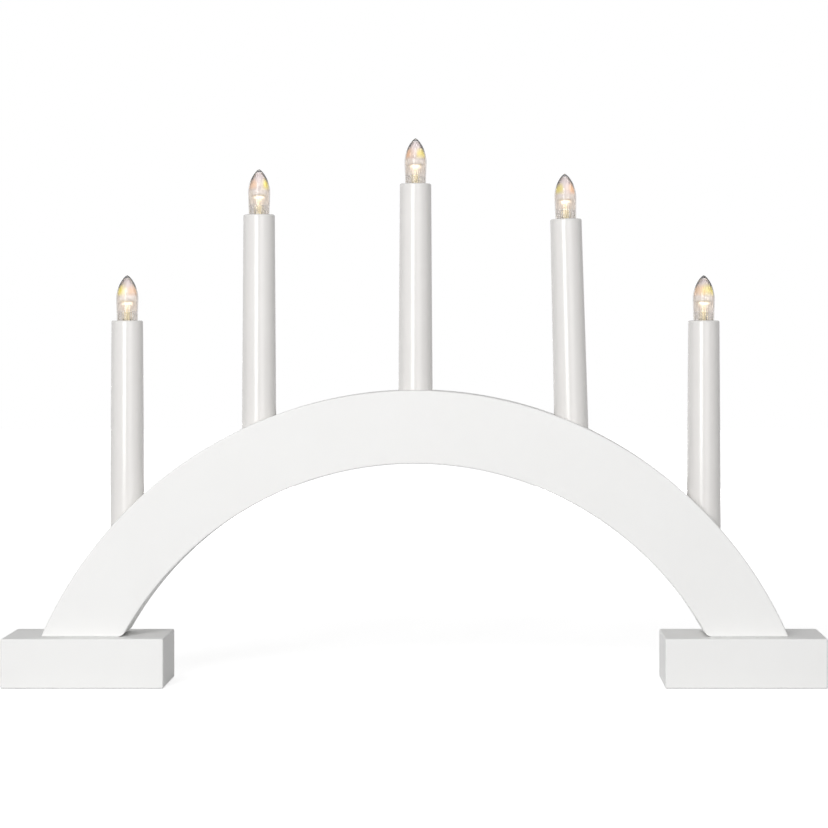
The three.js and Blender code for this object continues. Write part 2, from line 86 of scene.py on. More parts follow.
class Signal:
    """An output socket that takes part in Python arithmetic by adding Math nodes."""

    def __init__(self, tree: "NodeTree", socket: bpy.types.NodeSocket) -> None:
        """Keeps the socket and the tree that it belongs to."""
        self.tree = tree
        self.socket = socket

    def other(self, name: str) -> "Signal":
        """Another output of the same node."""
        return Signal(self.tree, self.socket.node.outputs[name])

    def maths(self, operation: str, *operands: "Signal | float") -> "Signal":
        """The result of a new Math node, with its inputs in order."""
        return self.tree.node("ShaderNodeMath", {"operation": operation}, dict(enumerate(operands)))

    def __add__(self, term: "Signal | float") -> "Signal":
        """The sum."""
        return self.maths("ADD", self, term)

    __radd__ = __add__

    def __sub__(self, term: "Signal | float") -> "Signal":
        """The difference."""
        return self.maths("SUBTRACT", self, term)

    def __rsub__(self, term: "Signal | float") -> "Signal":
        """The difference from a number."""
        return self.maths("SUBTRACT", term, self)

    def __mul__(self, factor: "Signal | float") -> "Signal":
        """The product."""
        return self.maths("MULTIPLY", self, factor)

    __rmul__ = __mul__

    def __truediv__(self, divisor: "Signal | float") -> "Signal":
        """The quotient."""
        return self.maths("DIVIDE", self, divisor)

    def __rtruediv__(self, dividend: "Signal | float") -> "Signal":
        """The quotient of a number by this signal."""
        return self.maths("DIVIDE", dividend, self)

    def __pow__(self, exponent: "Signal | float") -> "Signal":
        """The power."""
        return self.maths("POWER", self, exponent)

    def __rpow__(self, base: "Signal | float") -> "Signal":
        """A number raised to this signal."""
        return self.maths("POWER", base, self)

    def at_least(self, floor: "Signal | float") -> "Signal":
        """The larger of this signal and another."""
        return self.maths("MAXIMUM", self, floor)

    def at_most(self, ceiling: "Signal | float") -> "Signal":
        """The smaller of this signal and another."""
        return self.maths("MINIMUM", self, ceiling)


class NodeTree:
    """A node tree that is built node by node."""

    def __init__(self, tree: bpy.types.NodeTree) -> None:
        """Keeps the tree."""
        self.tree = tree

    def node(
        self,
        kind: str,
        settings: dict[str, object] | None = None,
        sockets: dict[str | int, object] | None = None,
        output: str | int = 0,
    ) -> Signal:
        """Adds a node.

        Args:
            kind: The node's type.
            settings: Its properties.
            sockets: Values or signals for its inputs. A list of signals goes into one socket.
            output: The output to hand back.

        Returns:
            That output.
        """
        node = self.tree.nodes.new(kind)
        for name, value in (settings or {}).items():
            setattr(node, name, value)
        for place, value in (sockets or {}).items():
            if isinstance(value, (Signal, list)):
                for signal in value if isinstance(value, list) else [value]:
                    self.tree.links.new(signal.socket, node.inputs[place])
            else:
                node.inputs[place].default_value = value
        return Signal(self, node.outputs[output])

    def end(self, kind: str, surface: Signal) -> None:
        """Adds an output node, fed by a surface."""
        node = self.tree.nodes.new(kind)
        self.tree.links.new(surface.socket, node.inputs["Surface"])


class ShaderTree(NodeTree):
    """The node tree of one material."""

    def __init__(self, name: str) -> None:
        """Makes the material with an empty tree.

        Args:
            name: The material's name.
        """
        self.material = bpy.data.materials.new(name)
        self.material.use_nodes = True
        super().__init__(self.material.node_tree)
        self.tree.nodes.clear()

    def place(self) -> Signal:
        """Object coordinates, in metres."""
        return self.node("ShaderNodeTexCoord", output="Object")

    def own_place(self) -> Signal:
        """The place on a candle piece in the candle's own axes, in metres."""
        return self.node("ShaderNodeAttribute", {"attribute_name": OWN_PLACE}, output="Vector")

    def height(self) -> Signal:
        """The height over the floor of the candle's seat."""
        return self.node("ShaderNodeSeparateXYZ", None, {"Vector": self.own_place()}, "Z")

    def between(self, value: Signal, low: float, high: float) -> Signal:
        """A smooth step.

        Args:
            value: What is compared.
            low: Where the step begins, at 0.
            high: Where it ends, at 1.

        Returns:
            The step, from 0 to 1.
        """
        settings = {"interpolation_type": "SMOOTHSTEP", "clamp": True}
        sockets = {"Value": value, "From Min": low, "From Max": high}
        return self.node("ShaderNodeMapRange", settings, sockets)

    def grazing(self) -> Signal:
        """How far the surface turns away, from 0 to 1."""
        return self.node("ShaderNodeLayerWeight", output="Facing")

    def uneven(self, middle: Signal | float, noise: Signal, spread: float) -> Signal:
        """A middle value that noise from 0 to 1 moves up and down, by the spread in all."""
        return middle + (noise - 0.5) * spread

    def noise(
        self,
        grain: float,
        detail: float = 2.0,
        stretch: Triple = (1.0, 1.0, 1.0),
        place: Signal | None = None,
    ) -> Signal:
        """Even noise from 0 to 1.

        Args:
            grain: The size of its grains in metres.
            detail: How many finer layers it has.
            stretch: How long a grain is along X, Y and Z, as multiples of the grain.
            place: The coordinates, or none for the object's.

        Returns:
            The noise.
        """
        scale = tuple(1.0 / share for share in stretch)
        mapping = {"Vector": place or self.place(), "Scale": scale}
        sockets = {
            "Vector": self.node("ShaderNodeMapping", None, mapping),
            "Scale": 1.0 / grain,
            "Detail": detail,
        }
        return self.node("ShaderNodeTexNoise", {"noise_dimensions": "3D"}, sockets)

    def blend(self, share: Signal, first: Signal | Colour, second: Signal | Colour) -> Signal:
        """A colour between two others.

        Args:
            share: 0 for the first, 1 for the second.
            first: The first colour.
            second: The second colour.

        Returns:
            The mixed colour.
        """
        colours = [side if isinstance(side, Signal) else (*side, 1.0) for side in (first, second)]
        settings = {"data_type": "RGBA", "clamp_factor": True}
        return self.node("ShaderNodeMix", settings, {0: share, 6: colours[0], 7: colours[1]}, 2)

    def bump(self, height: Signal, depth: float) -> Signal:
        """A normal that is bumped by a relief from 0 to 1, with its depth in metres."""
        return self.node("ShaderNodeBump", None, {"Height": height, "Distance": depth, "Strength": 1.0})

    def close(self, surface: Signal) -> None:
        """Ends the tree in its surface."""
        self.end("ShaderNodeOutputMaterial", surface)


def dimmed(colour: Colour, share: float) -> Colour:
    """A share of a colour's light."""
    return tuple(share * part for part in colour)


def clouded(colour: Colour) -> tuple[Colour, Colour]:
    """A plastic's colour and the darker one of its clouds."""
    return colour, dimmed(colour, CLOUD_SHARE)


@dataclass(frozen=True)
class Finish:
    """A material that is made on its first use."""

    name: str
    slot: Slot

    def make(self) -> bpy.types.Material:
        """The finished material, made once.

        Returns:
            The material.
        """
        made = bpy.data.materials.get(self.name)
        if made:
            return made
        shader = ShaderTree(self.name)
        shader.close(self.surface(shader))
        return shader.material

    def surface(self, shader: ShaderTree) -> Signal:
        """The surface as a whole."""
        return shader.node("ShaderNodeBsdfPrincipled", None, self.sockets(shader))

    def sockets(self, shader: ShaderTree) -> dict[str, object]:
        """What feeds the surface; each finish gives its own."""
        raise NotImplementedError


@dataclass(frozen=True)
class Grain:
    """Noise that makes a finish uneven, with the share that it has in the sheen."""

    size: float
    detail: float = 2.0
    stretch: Triple = (1.0, 1.0, 1.0)
    sheen: float = 0.0

    def noise(self, shader: ShaderTree) -> Signal:
        """The noise, from 0 to 1."""
        return shader.noise(self.size, self.detail, self.stretch)


@dataclass(frozen=True)
class UnevenFinish(Finish):
    """An opaque surface with clouds of a second colour, a fine relief and an uneven sheen."""

    colour: Colour
    shade: Colour
    clouds: Grain
    relief: Grain
    depth: float
    roughness: float
    metallic: float = 0.0
    specular: float = 0.5

    def sockets(self, shader: ShaderTree) -> dict[str, object]:
        """What feeds the surface.

        Args:
            shader: The material's tree.

        Returns:
            A value or signal for each socket.
        """
        clouds, relief = self.clouds.noise(shader), self.relief.noise(shader)
        sheen = shader.uneven(self.roughness, clouds, self.clouds.sheen)
        return {
            "Base Color": shader.blend(clouds, self.colour, self.shade),
            "Metallic": self.metallic,
            "Roughness": shader.uneven(sheen, relief, self.relief.sheen),
            "Specular IOR Level": self.specular,
            "Normal": shader.bump(relief, self.depth),
        }


@dataclass(frozen=True)
class SprayedPaint(UnevenFinish):
    """Satin white paint sprayed on wood, with a faint orange peel and uneven sheen."""

    colour: Colour = (0.855, 0.853, 0.845)
    shade: Colour = (0.825, 0.822, 0.812)
    clouds: Grain = Grain(45 * MM, detail=3.0, sheen=0.1)
    relief: Grain = Grain(1.1 * MM, detail=1.0, sheen=0.06)
    depth: float = 0.004 * MM
    roughness: float = 0.6
    specular: float = 0.22


@dataclass(frozen=True)
class GlossTube(UnevenFinish):
    """Glossy off-white moulded plastic with faint draw marks along its length."""

    colour: Colour = (0.782, 0.765, 0.747)
    shade: Colour = (0.748, 0.731, 0.713)
    clouds: Grain = Grain(14 * MM)
    relief: Grain = Grain(1.6 * MM, stretch=(1.0, 1.0, 40.0), sheen=0.08)
    depth: float = 0.008 * MM
    roughness: float = 0.19


@dataclass(frozen=True)
class MouldedPlastic(UnevenFinish):
    """Matt moulded plastic with a fine spark-eroded grain."""

    clouds: Grain = Grain(9 * MM)
    relief: Grain = Grain(0.35 * MM, sheen=0.15)
    depth: float = 0.012 * MM
    roughness: float = 0.45


@dataclass(frozen=True)
class DrawnMetal(UnevenFinish):
    """Pressed or turned metal with fine marks and a slightly uneven tarnish."""

    clouds: Grain = Grain(2.5 * MM, detail=3.0, sheen=0.15)
    relief: Grain = Grain(0.25 * MM, stretch=(4.0, 4.0, 0.6), sheen=0.2)
    depth: float = 0.004 * MM
    roughness: float = 0.28
    metallic: float = 1.0


@dataclass(frozen=True)
class ClearPlastic(Finish):
    """Clear moulded plastic, a little cloudy and a touch greyer in its solid tip, with a painted dark
    outline where it is seen edge on, darkest at the tip: painted shade for dark surroundings seen by
    refraction.
    """

    colour: Colour = (0.965, 0.955, 0.95)
    cloud: Colour = (0.91, 0.89, 0.885)
    tip: Colour = (0.93, 0.91, 0.92)
    # Painted outline: the colours, reach and sheen of the painted shade along the edges seen edge on.
    tip_painted_edge_colour: Colour = (0.05, 0.05, 0.055)
    body_painted_edge_colour: Colour = (0.62, 0.54, 0.47)
    tip_low: float = 132.5 * MM
    tip_high: float = 136.5 * MM
    painted_edge_start: float = 0.5
    painted_edge_full: float = 0.8
    painted_edge_widening: float = 0.12
    body_painted_edge_share: float = 0.45
    painted_edge_roughness: float = 0.5
    painted_edge_specular: float = 0.2
    swirl: float = 3.2 * MM
    swirl_sheen: float = 0.03
    swirl_depth: float = 0.006 * MM
    roughness: float = 0.09
    refraction: float = 1.25

    def solid_end(self, shader: ShaderTree) -> Signal:
        """1 in the solid tip, 0 below it."""
        return shader.between(shader.height(), self.tip_low, self.tip_high)

    def surface(self, shader: ShaderTree) -> Signal:
        """Clear plastic with a painted dark outline where it is seen edge on.

        Args:
            shader: The material's tree.

        Returns:
            The surface.
        """
        solid = self.solid_end(shader)
        # The outline's colour is painted shade: near black at the tip and warm brown on the body, for dark
        # surroundings seen by refraction.
        line = {
            "Base Color": shader.blend(solid, self.body_painted_edge_colour, self.tip_painted_edge_colour),
            "Roughness": self.painted_edge_roughness,
            "Specular IOR Level": self.painted_edge_specular,
        }
        # Painted outline share: grows where the surface turns away from view, wider and stronger in the
        # solid tip.
        turned = shader.grazing() + self.painted_edge_widening * solid
        strength = self.body_painted_edge_share + (1.0 - self.body_painted_edge_share) * solid
        edge = shader.between(turned, self.painted_edge_start, self.painted_edge_full) * strength
        clear = super().surface(shader)
        painted_edge_surface = shader.node("ShaderNodeBsdfPrincipled", None, line)
        return shader.node("ShaderNodeMixShader", None, {0: edge, 1: clear, 2: painted_edge_surface})

    def sockets(self, shader: ShaderTree) -> dict[str, object]:
        """What feeds the clear surface.

        Args:
            shader: The material's tree.

        Returns:
            A value or signal for each socket.
        """
        swirl = shader.noise(self.swirl, place=shader.own_place())
        body = shader.blend(swirl, self.colour, self.cloud)
        return {
            "Base Color": shader.blend(self.solid_end(shader), body, self.tip),
            "Roughness": shader.uneven(self.roughness, swirl, self.swirl_sheen),
            "IOR": self.refraction,
            "Transmission Weight": 1.0,
            "Normal": shader.bump(swirl, self.swirl_depth),
        }


@dataclass(frozen=True)
class FrostedGuide(Finish):
    """Frosted plastic that spreads the light: beige, greyer at its ends, with painted light from the diode
    as yellow and peach patches at its sides and a painted white highlight under its point.
    """

    colour: Colour = (0.95, 0.89, 0.82)
    shade: Colour = (0.89, 0.83, 0.775)
    foot: Colour = (0.72, 0.69, 0.66)
    tip: Colour = (0.77, 0.705, 0.685)
    point: Colour = (1.0, 1.0, 1.0)
    # Painted light: the diode's yellow and peach light at the sides, and a painted white highlight at the
    # point.
    yellow: Colour = (1.0, 0.87, 0.14)
    peach: Colour = (0.97, 0.6, 0.36)
    foot_height: float = 123.0 * MM
    foot_fade: float = 1 * MM
    patch_height: float = 133.5 * MM
    patch_reach: float = 3.2 * MM
    patch_start: float = 1.0 * MM
    patch_side: float = 2.6 * MM
    patch_least: float = 0.6
    patch_swing: float = 0.8
    tip_low: float = 127.8 * MM
    tip_high: float = 132.0 * MM
    point_height: float = 139.4 * MM
    point_fade: float = 0.8 * MM
    cloud: float = 4 * MM
    cloud_sheen: float = 0.2
    cloud_depth: float = 0.05 * MM
    roughness: float = 0.54
    foot_roughness: float = 0.25
    refraction: float = 1.3

    def at_foot(self, shader: ShaderTree) -> Signal:
        """1 at the guide's foot, 0 above it."""
        low, high = self.foot_height - self.foot_fade, self.foot_height + self.foot_fade
        return shader.between(shader.height(), high, low)

    def tint(self, shader: ShaderTree, own: Signal, clouds: Signal) -> Signal:
        """The colour over the height and round the sides, with painted light from the diode at the sides
        and a painted highlight at the point.

        Args:
            shader: The material's tree.
            own: The place on the lamp.
            clouds: Noise that makes the colour uneven.

        Returns:
            The colour.
        """
        across = shader.node("ShaderNodeSeparateXYZ", None, {"Vector": own}, "X")
        height = shader.height()
        offset = (height - self.patch_height) / self.patch_reach
        level = (1.0 - offset * offset).at_least(0.0) * (self.patch_least + self.patch_swing * clouds)
        # Painted light: yellow and peach patches on either side, where the diode's light shows through.
        yellow = shader.between(across, self.patch_start, self.patch_side) * level
        peach = shader.between(across, -self.patch_start, -self.patch_side) * level
        upper = shader.between(height, self.tip_low, self.tip_high)
        # Painted highlight under the point.
        point = shader.between(height, self.point_height - self.point_fade, self.point_height)
        layers = [
            (self.at_foot(shader), self.foot),
            (upper, self.tip),
            (peach, self.peach),
            (yellow, self.yellow),
            (point, self.point),
        ]
        colour = shader.blend(clouds, self.colour, self.shade)
        for share, layer in layers:
            colour = shader.blend(share, colour, layer)
        return colour

    def sockets(self, shader: ShaderTree) -> dict[str, object]:
        """What feeds the surface.

        Args:
            shader: The material's tree.

        Returns:
            A value or signal for each socket.
        """
        own = shader.own_place()
        clouds = shader.noise(self.cloud, place=own)
        frost = self.roughness + self.at_foot(shader) * (self.foot_roughness - self.roughness)
        return {
            "Base Color": self.tint(shader, own, clouds),
            "Roughness": shader.uneven(frost, clouds, self.cloud_sheen),
            "IOR": self.refraction,
            "Transmission Weight": 1.0,
            "Normal": shader.bump(clouds, self.cloud_depth),
        }


@dataclass(frozen=True)
class LitPlastic(Finish):
    """Plastic that glows by its own emission, less towards its rim: the diode's lens as the lamp, the post
    as painted glow.
    """

    colour: Colour
    glow: Colour
    strength: float
    core: float
    rim: float
    rim_share: float
    dim_share: float = 0.8
    speck: float = 0.9 * MM
    speck_sheen: float = 0.1
    roughness: float = 0.35

    def sockets(self, shader: ShaderTree) -> dict[str, object]:
        """What feeds the surface.

        Args:
            shader: The material's tree.

        Returns:
            A value or signal for each socket.
        """
        own = shader.own_place()
        specks = shader.noise(self.speck, place=own)
        level = shader.node("ShaderNodeVectorMath", {"operation": "MULTIPLY"}, {0: own, 1: ACROSS})
        radius = shader.node("ShaderNodeVectorMath", {"operation": "LENGTH"}, {0: level}, "Value")
        faded = dimmed(self.glow, self.rim_share)
        glow = shader.blend(specks, self.glow, dimmed(self.glow, self.dim_share))
        return {
            "Base Color": shader.blend(specks, self.colour, self.glow),
            "Roughness": shader.uneven(self.roughness, specks, self.speck_sheen),
            "Emission Color": shader.blend(shader.between(radius, self.core, self.rim), glow, faded),
            "Emission Strength": self.strength,
        }


PAINT = SprayedPaint("satin_white_paint", Slot.WHITE_PAINT)
TUBE = GlossTube("glossy_tube_plastic", Slot.TUBE_PLASTIC)
COVER = MouldedPlastic("cover_strip_plastic", Slot.COVER_PLASTIC, *clouded((0.8, 0.79, 0.77)))
HOLDER = MouldedPlastic("lampholder_plastic", Slot.HOLDER_PLASTIC, *clouded((0.74, 0.72, 0.68)))
INSULATION = MouldedPlastic("wire_sleeve_plastic", Slot.WIRE_INSULATION, *clouded((0.8, 0.79, 0.76)))
BRASS = DrawnMetal("pressed_brass", Slot.CONTACT_BRASS, (0.66, 0.45, 0.15), (0.42, 0.27, 0.08))
NICKEL = DrawnMetal("nickel_plate", Slot.CAP_NICKEL, (0.66, 0.64, 0.6), (0.5, 0.47, 0.42))
SOLDER = DrawnMetal("solder", Slot.TIP_SOLDER, (0.5, 0.5, 0.51), (0.38, 0.38, 0.4))
ZINC = DrawnMetal("zinc_plated_steel", Slot.SCREW_STEEL, (0.55, 0.56, 0.57), (0.42, 0.42, 0.4))
CLEAR = ClearPlastic("clear_lamp_plastic", Slot.CLEAR_ENVELOPE)
GUIDE = FrostedGuide("frosted_guide_plastic", Slot.LIT_CORE)
# The post's glow is painted light: it stands in for the diode's light on the post and the flutes round it.
# The post is far thinner than its bright core, so it glows evenly.
POST = LitPlastic(
    "painted_glow_post_plastic",
    Slot.LIT_CORE,
    colour=(0.85, 0.8, 0.62),
    glow=(1.0, 0.92, 0.64),
    strength=0.62,
    core=20 * MM,
    rim=21 * MM,
    rim_share=0.06,
)
DIODE = LitPlastic(
    "lit_diode",
    Slot.LIT_CORE,
    colour=(1.0, 0.95, 0.8),
    glow=(1.0, 0.94, 0.82),
    strength=2.5,
    core=0.6 * MM,
    rim=2.7 * MM,
    rim_share=0.46,
)


def mesh_of(name: str, points: Sequence[Sequence[float]], edges: list, faces: list) -> bpy.types.Mesh:
    """A new mesh.

    Args:
        name: Its name.
        points: Its corners.
        edges: Pairs of corners, for a line.
        faces: Rows of corners, for a skin.

    Returns:
        The mesh.
    """
    mesh = bpy.data.meshes.new(name)
    mesh.from_pydata(points, edges, faces)
    return mesh


def outline_of(points: Profile, closed: bool) -> bpy.types.Mesh:
    """A line in the XY plane, as the seed of a Geometry Nodes tree.

    Args:
        points: The places along it.
        closed: Whether its last point joins its first.

    Returns:
        The line as a mesh of edges.
    """
    edges = [(step, step + 1) for step in range(len(points) - 1)]
    if closed:
        edges.append((len(points) - 1, 0))
    return mesh_of("outline", [(x, y, 0.0) for x, y in points], edges, [])


def arc(centre: tuple[float, float], radius: float, start: float, end: float, steps: int) -> Profile:
    """Points along a round stretch of an outline.

    Args:
        centre: The middle of the circle.
        radius: Its radius.
        start: The first angle in degrees.
        end: The last angle in degrees.
        steps: How many pieces the stretch has.

    Returns:
        The points, with both ends.
    """
    angles = [math.radians(start + (end - start) * step / steps) for step in range(steps + 1)]
    return [(centre[0] + radius * math.cos(a), centre[1] + radius * math.sin(a)) for a in angles]


def flat_arc(width: float, level: float, rise: float, start: float, end: float, steps: int) -> Profile:
    """Points along a stretch of a flattened circle about the axis.

    Args:
        width: Its half width.
        level: The height of its middle.
        rise: Its half height.
        start: The first angle in degrees.
        end: The last angle in degrees.
        steps: How many pieces the stretch has.

    Returns:
        Pairs of radius and height, with both ends.
    """
    unit = arc((0.0, 0.0), 1.0, start, end, steps)
    return [(across * width, level + up * rise) for across, up in unit]


def reshape(mesh: bpy.types.Mesh, edit: Callable[[bmesh.types.BMesh], None]) -> bpy.types.Mesh:
    """Edits a mesh in place.

    Args:
        mesh: The mesh.
        edit: What is done to it.

    Returns:
        The same mesh.
    """
    shape = bmesh.new()
    shape.from_mesh(mesh)
    edit(shape)
    shape.to_mesh(mesh)
    shape.free()
    return mesh


def close_skin(mesh: bpy.types.Mesh, crease: float = 35.0) -> bpy.types.Mesh:
    """Welds a closed skin, points its faces out and shades it smooth up to a crease.

    Args:
        mesh: The mesh.
        crease: The angle in degrees from which an edge stays sharp.

    Returns:
        The same mesh.
    """

    def weld(shape: bmesh.types.BMesh) -> None:
        """Merges doubled corners and turns the faces out.

        Args:
            shape: The mesh as it is edited.
        """
        bmesh.ops.remove_doubles(shape, verts=shape.verts, dist=WELD)
        bmesh.ops.dissolve_degenerate(shape, edges=shape.edges, dist=WELD)
        bmesh.ops.recalc_face_normals(shape, faces=shape.faces)

    reshape(mesh, weld)
    mesh.polygons.foreach_set("use_smooth", [True] * len(mesh.polygons))
    mesh.set_sharp_from_angle(angle=math.radians(crease))
    return mesh


def joined(meshes: Sequence[bpy.types.Mesh]) -> bpy.types.Mesh:
    """Several meshes in one; the first one's materials stay.

    Args:
        meshes: The meshes, which are used up apart from the first.

    Returns:
        The first mesh, with the others in it.
    """

    def gather(shape: bmesh.types.BMesh) -> None:
        """Adds the other meshes."""
        for mesh in meshes[1:]:
            shape.from_mesh(mesh)

    reshape(meshes[0], gather)
    for mesh in meshes[1:]:
        bpy.data.meshes.remove(mesh)
    return meshes[0]


def moved(mesh: bpy.types.Mesh, way: Matrix) -> bpy.types.Mesh:
    """Moves a mesh in place and hands it back."""
    mesh.transform(way)
    return mesh


def shifted(mesh: bpy.types.Mesh, x: float, y: float, z: float) -> bpy.types.Mesh:
    """Moves a mesh along the axes and hands it back."""
    return moved(mesh, Matrix.Translation((x, y, z)))


def placed(name: str, data: bpy.types.ID) -> bpy.types.Object:
    """A new object in the scene.

    Args:
        name: Its name.
        data: Its mesh, lamp or camera.

    Returns:
        The object.
    """
    thing = bpy.data.objects.new(name, data)
    bpy.context.scene.collection.objects.link(thing)
    return thing


def applied(holder: bpy.types.Object) -> bpy.types.Mesh:
    """What an object's modifiers make of its mesh.

    Args:
        holder: The object, which is used up together with its mesh.

    Returns:
        The new mesh.
    """
    spent = holder.data
    graph = bpy.context.evaluated_depsgraph_get()
    made = bpy.data.meshes.new_from_object(holder.evaluated_get(graph), depsgraph=graph)
    bpy.data.objects.remove(holder)
    bpy.data.meshes.remove(spent)
    return made


def baked(mesh: bpy.types.Mesh, kind: str, settings: dict[str, object]) -> bpy.types.Mesh:
    """A mesh with a modifier applied.

    Args:
        mesh: The mesh, which is used up.
        kind: The modifier's type.
        settings: The modifier's properties.

    Returns:
        The new mesh.
    """
    holder = placed("holder", mesh)
    modifier = holder.modifiers.new("shape", kind)
    for name, value in settings.items():
        setattr(modifier, name, value)
    return applied(holder)


def carved(mesh: bpy.types.Mesh, cutters: Sequence[bpy.types.Mesh]) -> bpy.types.Mesh:
    """A mesh with holes cut in it, its flat faces shaded flat.

    Args:
        mesh: The mesh, which is used up.
        cutters: Closed meshes that are taken away from it, and used up.

    Returns:
        The new mesh.
    """
    tool = placed("cutter", joined(cutters))
    settings = {"operation": "DIFFERENCE", "solver": "EXACT", "use_self": True, "object": tool}
    made = baked(mesh, "BOOLEAN", settings)
    spent = tool.data
    bpy.data.objects.remove(tool)
    bpy.data.meshes.remove(spent)
    close_skin(made)
    return baked(made, "WEIGHTED_NORMAL", {"keep_sharp": True, "mode": "FACE_AREA"})


class GeoTree(NodeTree):
    """A Geometry Nodes tree with named sizes, run on a seed mesh."""

    def __init__(self, name: str) -> None:
        """Makes the tree with a geometry input and output.

        Args:
            name: The tree's name.
        """
        super().__init__(bpy.data.node_groups.new(name, "GeometryNodeTree"))
        self.identifiers: dict[str, str] = {}
        for direction in ("INPUT", "OUTPUT"):
            self.tree.interface.new_socket("Geometry", in_out=direction, socket_type="NodeSocketGeometry")
        self.entry = self.tree.nodes.new("NodeGroupInput")
        self.exit = self.tree.nodes.new("NodeGroupOutput")

    def seed(self) -> Signal:
        """The mesh that the tree runs on."""
        return Signal(self, self.entry.outputs["Geometry"])

    def given(self, name: str, kind: str = "NodeSocketFloat") -> Signal:
        """A named input.

        Args:
            name: Its name.
            kind: Its socket type.

        Returns:
            The input.
        """
        socket = self.tree.interface.new_socket(name, in_out="INPUT", socket_type=kind)
        self.identifiers[name] = socket.identifier
        return Signal(self, self.entry.outputs[name])

    def line(self) -> Signal:
        """The seed, a line of edges, as a curve."""
        return self.node("GeometryNodeMeshToCurve", None, {"Mesh": self.seed()})

    def circle(self, radius: str) -> Signal:
        """A circle with named inputs for its sides and its radius."""
        sizes = {"Resolution": self.given("Sides", "NodeSocketInt"), "Radius": self.given(radius)}
        return self.node("GeometryNodeCurvePrimitiveCircle", {"mode": "RADIUS"}, sizes)

    def level(self, path: Signal) -> Signal:
        """A flat path along which a section stays upright."""
        return self.node("GeometryNodeSetCurveNormal", {"mode": "Z_UP"}, {"Curve": path})

    def swept(self, path: Signal, section: Signal, caps: bool) -> Signal:
        """A section swept along a path, with or without caps on its ends."""
        sockets = {"Curve": path, "Profile Curve": section, "Fill Caps": caps}
        return self.node("GeometryNodeCurveToMesh", None, sockets)

    def place(self) -> tuple[Signal, Signal, Signal]:
        """The X, Y and Z of each corner."""
        parts = self.node("ShaderNodeSeparateXYZ", None, {0: self.node("GeometryNodeInputPosition")})
        return parts, parts.other("Y"), parts.other("Z")

    def replaced(self, geometry: Signal, x: Signal, y: Signal, z: Signal) -> Signal:
        """Geometry with its corners at new places."""
        spot = self.node("ShaderNodeCombineXYZ", None, {"X": x, "Y": y, "Z": z})
        return self.node("GeometryNodeSetPosition", None, {"Geometry": geometry, "Position": spot})

    def close(self, geometry: Signal) -> None:
        """Ends the tree in real geometry with a material.

        Args:
            geometry: What the tree makes.
        """
        real = self.node("GeometryNodeRealizeInstances", None, {"Geometry": geometry})
        material = self.given("Material", "NodeSocketMaterial")
        dressed = self.node("GeometryNodeSetMaterial", None, {"Geometry": real, "Material": material})
        self.tree.links.new(dressed.socket, self.exit.inputs["Geometry"])

    def run(self, seed: bpy.types.Mesh, finish: Finish, sizes: dict[str, object]) -> bpy.types.Mesh:
        """Runs the tree.

        Args:
            seed: The mesh that it runs on, which is used up.
            finish: The material of the result.
            sizes: A value for each named input.

        Returns:
            The result as a plain mesh.
        """
        holder = placed("seed", seed)
        rule = holder.modifiers.new("rule", "NODES")
        rule.node_group = self.tree
        rule[self.identifiers["Material"]] = finish.make()
        for name, value in sizes.items():
            rule[self.identifiers[name]] = value
        return applied(holder)


class Lathe:
    """Turns profiles of radius and height about the Z axis."""

    PATH_RADIUS = 50 * MM

    def __init__(self) -> None:
        """Builds the tree that sweeps a profile round a circle."""
        tree = GeoTree("turned_piece")
        self.tree = tree
        path = tree.level(tree.circle("Path Radius"))
        tree.close(tree.swept(path, tree.line(), caps=False))

    def turn(self, profile: Profile, sides: int, finish: Finish, closed: bool = False) -> bpy.types.Mesh:
        """Turns one profile.

        Args:
            profile: Pairs of radius and height, which start and end on the axis or close on themselves.
            sides: How many sides a full turn has.
            finish: The material.
            closed: Whether the profile closes on itself.

        Returns:
            The turned mesh.
        """
        line = [(radius - self.PATH_RADIUS, -height) for radius, height in profile]
        sizes = {"Sides": sides, "Path Radius": self.PATH_RADIUS}
        return close_skin(self.tree.run(outline_of(line, closed), finish, sizes))

    def rod(self, radius: float, low: float, high: float, sides: int, finish: Finish) -> bpy.types.Mesh:
        """A plain rod on the Z axis, as a cutter with the finish of what it cuts."""
        return self.turn([(0.0, low), (radius, low), (radius, high), (0.0, high)], sides, finish)


class BandRule:
    """Sweeps a section along a circle and trims every line of it level at the feet."""

    def __init__(self) -> None:
        """Builds the tree; the circle lies in the XY plane until the last step sets it upright."""
        tree = GeoTree("arched_band")
        self.tree = tree
        names = ("Middle Radius", "Inner Radius", "Foot Level", "Heel Rounding", "Centre Level")
        middle, inner, level, heel, centre = (tree.given(name) for name in names)
        steps = tree.given("Arc Steps", "NodeSocketInt")
        sizes = {"Resolution": steps, "Radius": middle, "Start Angle": 0.0, "Sweep Angle": math.pi}
        half_circle = tree.node("GeometryNodeCurveArc", {"mode": "RADIUS"}, sizes)
        swept = tree.swept(tree.level(half_circle), tree.line(), caps=True)
        across, along, depth = tree.place()
        squared = across * across + along * along
        radius = squared.maths("SQRT", squared)
        angle = across.maths("ARCCOSINE", across / radius)
        near_heel = (inner + heel - radius).at_least(0.0)
        lift = heel - (heel * heel - near_heel * near_heel).at_least(0.0) ** 0.5
        trim = radius.maths("ARCSINE", (level + lift) / radius)
        trimmed = trim + angle * (1.0 - trim * (2.0 / math.pi))
        new_across = radius * trimmed.maths("COSINE", trimmed)
        new_along = radius * trimmed.maths("SINE", trimmed)
        upright = {
            "Geometry": tree.replaced(swept, new_across, new_along, depth),
            "Translation": tree.node("ShaderNodeCombineXYZ", None, {"Z": centre}),
            "Rotation": (math.pi / 2, 0.0, 0.0),
        }
        tree.close(tree.node("GeometryNodeTransform", None, upright))

    def band(self, section: Profile, finish: Finish, sizes: dict[str, object]) -> bpy.types.Mesh:
        """A band with a closed section of pairs of distance outwards from the middle and depth."""
        return close_skin(self.tree.run(outline_of(section, True), finish, sizes))


